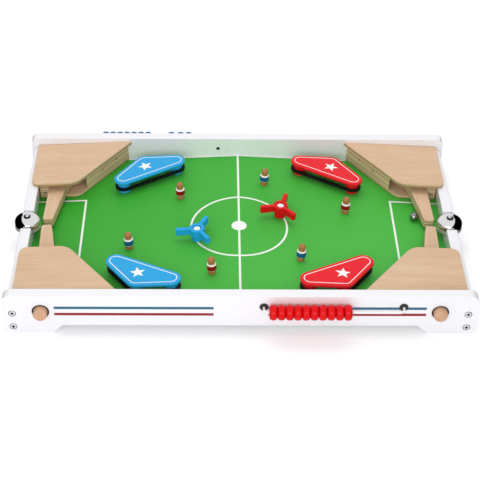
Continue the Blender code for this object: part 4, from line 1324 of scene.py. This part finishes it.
def make_bumper(corner):
    """A rounded triangular plate with a printed line and a star, on three posts in a rubber band."""
    team = TEAMS[CORNERS[corner][0]]
    paint = BUMPER_PAINT[team]
    underside = BUMPER_TOP - BUMPER_PLATE

    def belts(*radii):
        return [belt(BUMPER_POSTS, radius, WIDE_CORNER_STEPS) for radius in radii]

    rim = belts(POST_RADIUS + BUMPER_OVERHANG)
    name = "bumper_plate_" + corner
    top = corner_plate(name, rim, underside, BUMPER_TOP, corner, BUMPER_EDGE, FINE_EDGE_STEPS)
    place(top, "table", team + "_paint", paint, "bumper_" + corner)
    softness = (POST_EDGE, COARSE_EDGE_STEPS)
    rounds = [[circle(centre, POST_RADIUS)] for centre in BUMPER_POSTS]
    posts = [corner_plate("post", outlines, GAP, underside, corner, *softness) for outlines in rounds]
    posts = joined("bumper_posts_" + corner, posts)
    posts.data.shade_smooth()
    place(posts, "table", team + "_paint", paint)
    loop = belts(POST_RADIUS + GAP + BAND_WIDTH, POST_RADIUS + GAP)
    name = "rubber_band_" + corner
    band = corner_plate(name, loop, BAND_LOW, BAND_LOW + BAND_HEIGHT, corner, BAND_EDGE, BAND_EDGE_STEPS)
    place(band, "table", "black_rubber", RUBBER, "bumper_band_" + corner)
    inline = belts(INLINE_RADIUS, INLINE_RADIUS - INLINE_WIDTH)
    heights = (BUMPER_TOP - PAINT_THICKNESS, BUMPER_TOP + PAINT_THICKNESS)
    prints = [corner_plate("print", outlines, *heights, corner) for outlines in (inline, [star_outline()])]
    place(joined("bumper_print_" + corner, prints), "table", "white_lacquer", LINE_PAINT)


def make_spinner(team, side):
    """Three arms on a hub, with a recess for the screw on which it turns."""
    arm_half = SPINNER_ARM_WIDTH / 2
    tip_half = SPINNER_TIP_WIDTH / 2
    web = math.sqrt(SPINNER_HUB_RADIUS**2 - arm_half**2)
    tip = rounded(
        [
            (0.0, 0.0, 0.0),
            (web, -arm_half, 0.0),
            (SPINNER_REACH, -tip_half, SPINNER_TIP_ROUNDING),
            (SPINNER_REACH, tip_half, SPINNER_TIP_ROUNDING),
            (web, arm_half, 0.0),
        ],
        SMALL_BEND_STEPS,
    )[1:]
    spread = math.atan2(arm_half, web)
    hub = arc((0.0, 0.0), SPINNER_HUB_RADIUS, spread, math.tau / 3 - 2 * spread, HUB_STEPS)
    outline = []
    for i in range(3):
        turn = Matrix.Rotation(math.radians(SPINNER_ANGLES[team]) + math.tau * i / 3, 2)
        outline += [tuple(turn @ Vector(point)) for point in (*tip, *hub[1:-1])]
    stand = half_matrix(side) @ moved(side * SPINNER_PLACE[0], side * SPINNER_PLACE[1], 0.0)
    seat = SPINNER_TOP - SPINNER_RECESS_DEPTH
    bore = SPINNER_SCREW_RADIUS + RUNNING_GAP
    above = SPINNER_TOP + OVERRUN
    recess = [(0.0, above), (SPINNER_RECESS_RADIUS, above), (SPINNER_RECESS_RADIUS, seat)]
    drill = turned("drill", [*recess, (bore, seat), (bore, -OVERRUN), (0.0, -OVERRUN)])
    arms_low = SPINNER_TOP - SPINNER_ARM_HEIGHT
    arms = plate(team + "_spinner_arms", [outline], arms_low, SPINNER_TOP)
    arms = shifted(soften(arms, SPINNER_EDGE, EDGE_STEPS, [drill]), stand)
    body = team + "_spinner"
    place(arms, body, team + "_paint", SPINNER_PAINT[team], body)
    rings = [circle((0.0, 0.0), radius) for radius in (SPINNER_COLLAR_RADIUS, bore)]
    collar = plate(team + "_spinner_collar", rings, RUNNING_GAP, arms_low + SPINNER_EDGE)
    collar = shifted(soften(collar, SPINNER_EDGE / 2, COARSE_EDGE_STEPS), stand)
    place(collar, body, team + "_paint", SPINNER_PAINT[team])
    head_low = seat + RUNNING_GAP
    head_top = head_low + SPINNER_HEAD_HEIGHT
    dome = reversed(arc((0.0, 0.0), 1.0, 0.0, math.pi / 2, BEND_STEPS))
    crown = [(SPINNER_HEAD_RADIUS * x, head_top + SPINNER_HEAD_CROWN * y) for x, y in dome]
    head = [*crown, (SPINNER_HEAD_RADIUS, head_low), (SPINNER_SCREW_RADIUS, head_low)]
    profile = [*head, (SPINNER_SCREW_RADIUS, -BOARD_THICKNESS), (0.0, -BOARD_THICKNESS)]
    screw = shifted(turned(team + "_spinner_bolt", profile, SMALL_STEPS), stand)
    place(screw, "table", "bare_steel", ZINC, team + "_spinner_screw")


def make_player(name, spot, side, team):
    """A turned player: a narrow foot, a body with sloping shoulders and a round head on a wide neck."""
    low = PEG_FOOT_HEIGHT
    high = PEG_FOOT_HEIGHT + PEG_BODY_HEIGHT
    top = math.pi / 2
    head = arc((0.0, PEG_HEAD_CENTRE), PEG_HEAD_RADIUS, top, -math.radians(PEG_HEAD_SWEEP), HEAD_STEPS)
    shoulder = (PEG_BODY_RADIUS - PEG_SHOULDER, high - PEG_SHOULDER)
    body_top = arc(shoulder, PEG_SHOULDER, PEG_SHOULDER_SWEEP, -PEG_SHOULDER_SWEEP, BEND_STEPS)
    body_low = arc((PEG_BODY_RADIUS - PEG_EDGE, low + PEG_EDGE), PEG_EDGE, 0.0, -top, SMALL_BEND_STEPS)
    foot = [(PEG_FOOT_RADIUS, low), (PEG_FOOT_RADIUS, GAP), (0.0, GAP)]
    profile = [(0.0, head[0][1]), *head[1:], (PEG_NECK_RADIUS, high), *body_top, *body_low, *foot]
    stand = half_matrix(side) @ moved(*spot, 0.0)
    player = shifted(turned("turned_" + name, profile, PLAYER_STEPS), stand)
    place(player, "table", team + "_paint", PLAYER_PAINT[team], name)


def make_bell(name, side):
    """A domed bell with a rolled lip, held by a washer and a hexagonal nut on its post."""
    shoulder = BELL_CROWN - BELL_SHOULDER
    bore = BELL_STUD_RADIUS + GAP
    inner_radius = BELL_RADIUS - BELL_WALL
    inner_rise = BELL_SHOULDER - BELL_WALL

    def dome(radius, rise):
        """A dome that is fuller at the shoulder than an ellipse."""
        power = 2 / BELL_FULLNESS
        flat = math.acos((bore / radius) ** (1 / power))
        angles = [flat * (1 - i / DOME_STEPS) for i in range(DOME_STEPS + 1)]
        turns = [(math.cos(angle) ** power, math.sin(angle) ** power) for angle in angles]
        return [(radius * out, shoulder + rise * up) for out, up in turns]

    outer = dome(BELL_RADIUS, BELL_SHOULDER)
    inner = dome(inner_radius, inner_rise)
    lip = arc((BELL_RADIUS - BELL_LIP, BELL_RIM + BELL_LIP), BELL_LIP, 0.0, -math.pi, BEND_STEPS)
    profile = [*outer, *lip, (inner_radius, BELL_RIM + 2 * BELL_LIP), *reversed(inner)]
    stand = moved(side * END_MIDDLE, 0.0, 0.0)
    bell = shifted(turned(name + "_bell_dome", profile, BELL_STEPS, ring=True), stand)
    place(smoothed(bell, SMOOTH_SHARP_ANGLE), "table", "chrome_bell", CHROME, name + "_bell")
    seat_share = (1 - (BELL_SEAT_RADIUS / inner_radius) ** BELL_FULLNESS) ** (1 / BELL_FULLNESS)
    crown_low = shoulder + inner_rise * seat_share - RUNNING_GAP
    seat_low = crown_low - BELL_SEAT_HEIGHT
    washer_high = BELL_CROWN + BELL_WASHER_HEIGHT
    nut_high = washer_high + BELL_NUT_HEIGHT
    foot_low = GOAL_SILL + GAP
    foot_high = foot_low + BELL_FOOT_HEIGHT
    stud_high = nut_high + BELL_STUD_PROUD
    soft = BELL_NUT_EDGE / 2
    stud = [(0.0, stud_high), (BELL_STUD_RADIUS - soft, stud_high), (BELL_STUD_RADIUS, stud_high - soft)]
    seat = [(BELL_STUD_RADIUS, crown_low), (BELL_SEAT_RADIUS, crown_low), (BELL_SEAT_RADIUS, seat_low)]
    column = [(BELL_POST_RADIUS, seat_low), (BELL_POST_RADIUS, foot_high)]
    foot = [(BELL_FOOT_RADIUS - soft, foot_high), (BELL_FOOT_RADIUS, foot_high - soft)]
    profile = [*stud, *seat, *column, *foot, (BELL_FOOT_RADIUS, foot_low), (0.0, foot_low)]
    post = shifted(turned(name + "_bell_stud", profile, SMALL_STEPS), stand)
    place(post, "table", "bare_steel", STEEL, name + "_bell_post")
    rim = circle((0.0, 0.0), BELL_WASHER_RADIUS)
    hexagon = circle((0.0, 0.0), BELL_NUT_RADIUS, 6)
    for part, outline, low, high, edge, slot, finish in (
        ("_bell_washer", rim, BELL_CROWN - GAP, washer_high, GAP / 2, "black_rubber", PLASTIC),
        ("_bell_nut", hexagon, washer_high, nut_high, BELL_NUT_EDGE, "bare_steel", STEEL),
    ):
        ring = soften(plate(name + part, [outline], low, high), edge, COARSE_EDGE_STEPS)
        place(shifted(ring, stand), "table", slot, finish)


# Score counters and ball


def make_score_rod(name, side):
    """A coated wire that leaves a rail, runs along it and goes back in."""
    back = RAIL_THICKNESS - GAP
    middle = ROD_PROUD - ROD_BEND
    near_bend = arc((ROD_NEAR + ROD_BEND, middle), ROD_BEND, math.pi, -math.pi / 2)
    far_bend = arc((ROD_FAR - ROD_BEND, middle), ROD_BEND, math.pi / 2, -math.pi / 2)
    route = [(ROD_NEAR, -back), *near_bend, *far_bend, (ROD_FAR, -back)]
    points = [(-side * x, side * (OUTER_FACE + y), ROD_HEIGHT) for x, y in route]
    rod = draw_wire(name + "_wire", points, ROD_RADIUS, WHITE_WIRE)
    place(rod, "table", "white_wire", WHITE_WIRE, name)


def make_bead():
    """One fat bead about X, with its middle at the origin."""
    bend = BEAD_RADIUS - BEAD_ROUNDING
    half = BEAD_WIDTH / 2
    flat = half - BEAD_ROUNDING
    upper = arc((bend, flat), BEAD_ROUNDING, math.pi / 2, -math.pi / 2, BEAD_CORNER_STEPS)
    lower = arc((bend, -flat), BEAD_ROUNDING, 0.0, -math.pi / 2, BEAD_CORNER_STEPS)
    bead = turned("bead", [*upper, *lower, (BEAD_BORE, -half), (BEAD_BORE, half)], BEAD_STEPS, ring=True)
    return shifted(bead, Matrix.Rotation(math.pi / 2, 4, "Y"))


def make_bead_row(team):
    """The beads of one rod: the joined ones as one piece, then four that slide one by one."""
    nodes = [team + "_bead_row"] + [f"{team}_bead_{i}" for i in range(JOINED_BEADS + 1, LAST_BEAD + 1)]
    for node in nodes:
        low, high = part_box(node)
        middle = (low + high) / 2
        count = round((high.x - low.x) / BEAD_WIDTH)
        first = Vector((low.x + BEAD_WIDTH / 2, middle.y, middle.z))
        values = {"Part": make_bead(), "Count": count, "First": first, "Step": (BEAD_WIDTH, 0.0, 0.0)}
        values["Finish"] = BEAD_PAINT[team]
        mesh = bpy.data.meshes.new(node)
        beads = grown(node.replace("bead", "beads"), mesh, ROW_TREE, values)
        bpy.data.objects.remove(values["Part"], do_unlink=True)
        place(beads, node, team + "_beads", BEAD_PAINT[team], node)


def make_ball():
    low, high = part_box("steel_ball")
    mesh = bpy.data.meshes.new("polished_ball")
    facets = {"u_segments": SPHERE_STEPS, "v_segments": SPHERE_STEPS // 2}
    with opened(mesh) as work:
        bmesh.ops.create_uvsphere(work, radius=BALL_RADIUS, **facets)
    mesh.shade_smooth()
    ball = shifted(shown("polished_ball", mesh), moved(*(low + high) / 2))
    place(ball, "ball", "bare_steel", BALL_STEEL_PAINTED_DARK, "steel_ball")


# Studio

LENS = 102.86
SENSOR = 36.0
CAMERA_PLACE = (-0.0348, -1.4966, 1.1651)
CAMERA_YAW = 1.394
CAMERA_PITCH = 37.74
CAMERA_ROLL = 1.048
FLOOR_SIZE = 8.0
FLOOR_LIFT = 0.24
WORLD_LIGHT = 0.62
SOFTBOXES = {
    "overhead_softbox": ((0.0, 0.45, 1.60), (1.5, 0.9), 7.5, False),
    "front_softbox": ((-0.3, -1.9, 1.05), (1.6, 1.0), 17.0, True),
}
PANEL_PLACE = 0.36
PANEL_ROWS = (-0.30, 0.24)
PANEL_HEIGHT = 0.20
PANEL_SHADE = (0.322, 0.350)
MATTE = 0.9
WHITE = (1.0, 1.0, 1.0, 1.0)
BLACK = (0.0, 0.0, 0.0, 1.0)


def make_camera():
    """The photograph's viewpoint, from a yaw, a pitch downwards and a roll about the line of sight."""
    yaw, pitch, roll = (math.radians(angle) for angle in (CAMERA_YAW, CAMERA_PITCH, CAMERA_ROLL))
    forward = Vector((math.sin(yaw) * math.cos(pitch), math.cos(yaw) * math.cos(pitch), -math.sin(pitch)))
    level = Vector((math.cos(yaw), -math.sin(yaw), 0.0))
    upright = level.cross(forward)
    right = level * math.cos(roll) + upright * math.sin(roll)
    top = upright * math.cos(roll) - level * math.sin(roll)
    camera = staged("camera", bpy.data.cameras.new("camera"))
    camera.data.lens = LENS
    camera.data.sensor_width = SENSOR
    camera.matrix_world = moved(*CAMERA_PLACE) @ Matrix((right, top, -forward)).transposed().to_4x4()
    bpy.context.scene.camera = camera


def make_world():
    """Even light for the object, and a white background that metal shows too."""
    world = bpy.data.worlds.new("studio")
    world.use_nodes = True
    graph = Graph(world.node_tree)
    sight = graph.node("ShaderNodeLightPath", out="Is Camera Ray")
    rays = sight.socket.node.outputs
    seen = sight + Field(graph, rays["Is Glossy Ray"]) + Field(graph, rays["Is Transmission Ray"])
    light = graph.node("ShaderNodeBackground", sockets={"Color": WHITE, "Strength": WORLD_LIGHT})
    backdrop = graph.node("ShaderNodeBackground", sockets={"Color": WHITE, "Strength": 1.0})
    either = seen.maths("MINIMUM", 1.0)
    mixed = graph.node("ShaderNodeMixShader", sockets={0: either, 1: light, 2: backdrop})
    graph.feed(graph.tree.nodes["World Output"].inputs["Surface"], mixed)
    bpy.context.scene.world = world


def make_floor():
    """A pale floor that keeps the shadow and runs into the background. Metal sees it darken to the panels."""
    mesh = bpy.data.meshes.new("floor")
    with opened(mesh) as work:
        bmesh.ops.create_grid(work, x_segments=1, y_segments=1, size=FLOOR_SIZE / 2)
    finish = Finish("pale_floor")
    sight = finish.node("ShaderNodeLightPath", out="Is Camera Ray")
    glossy = Field(finish, sight.socket.node.outputs["Is Glossy Ray"])
    dark = finish.rise(abs(finish.axes()[0]), *PANEL_SHADE) * glossy
    colour = finish.mix(dark, shade(243, 243, 245), BLACK)
    glow = finish.mix(sight, BLACK, WHITE)
    mesh.materials.append(finish.surface(colour, MATTE, specular=0.0, glow=glow, glow_strength=FLOOR_LIFT))
    staged("floor", mesh)


def make_panel(name, side):
    """A black panel beside the game, which only its metal sees."""
    mesh = bpy.data.meshes.new("black_panel")
    near, far = PANEL_ROWS
    corners = [(side * PANEL_PLACE, y, z) for y, z in rectangle((near, 0.0), (far, PANEL_HEIGHT))]
    mesh.from_pydata(corners, [], [(0, 1, 2, 3)])
    mesh.materials.append(Finish("black_panel").surface(BLACK, MATTE, specular=0.0))
    panel = staged(name, mesh)
    for rays in ("camera", "diffuse", "transmission", "shadow"):
        setattr(panel, "visible_" + rays, False)


def make_softbox(name, place, size, power, in_metal):
    """A broad soft light that faces the middle of the game, and that metal shows or not."""
    light = bpy.data.lights.new(name, "AREA")
    light.shape = "RECTANGLE"
    light.size, light.size_y = size
    light.energy = power
    softbox = staged(name, light)
    softbox.location = place
    softbox.rotation_euler = Vector(place).to_track_quat("Z", "Y").to_euler()
    softbox.visible_camera = False
    softbox.visible_glossy = in_metal


make_camera()
make_world()
make_floor()
for end, side in ENDS.items():
    make_panel(end + "_panel", side)
for softbox_name, values in SOFTBOXES.items():
    make_softbox(softbox_name, *values)
bpy.context.scene.view_settings.view_transform = "Standard"

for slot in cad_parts["playfield"].material_slots:
    slot.material = PITCH
for rail, side in RAILS.items():
    make_long_rail(rail + "_rail", side)
for rail, side in RAILS.items():
    make_hole_liners(rail, side)
    make_stripes(rail + "_teal_stripes", side, TEAL_STRIPE_HEIGHT, STRIPE_PAINT["teal"], "blue_paint")
    make_stripes(rail + "_red_stripes", side, RED_STRIPE_HEIGHT, STRIPE_PAINT["dark_red"], "red_paint")
for end, side in ENDS.items():
    make_end_rail(end + "_end_rail", side)
make_pitch_lines()
make_fasteners()
for corner in CORNERS:
    for make in (make_cover, make_housing, make_flipper, make_spring, make_button, make_bumper):
        make(corner)
for end, side in ENDS.items():
    make_spinner(TEAMS[side], side)
    make_bell(end, side)
    make_bead_row(TEAMS[side])
for number, (x, y) in enumerate(RED_PLAYERS, 1):
    half = 1 if x > 0 else -1
    make_player(f"red_player_{number}", (x, y), half, "red")
    make_player(f"blue_player_{number}", (-x, -y), -half, "blue")
for rail, side in RAILS.items():
    make_score_rod(rail + "_score_rod", side)
make_ball()
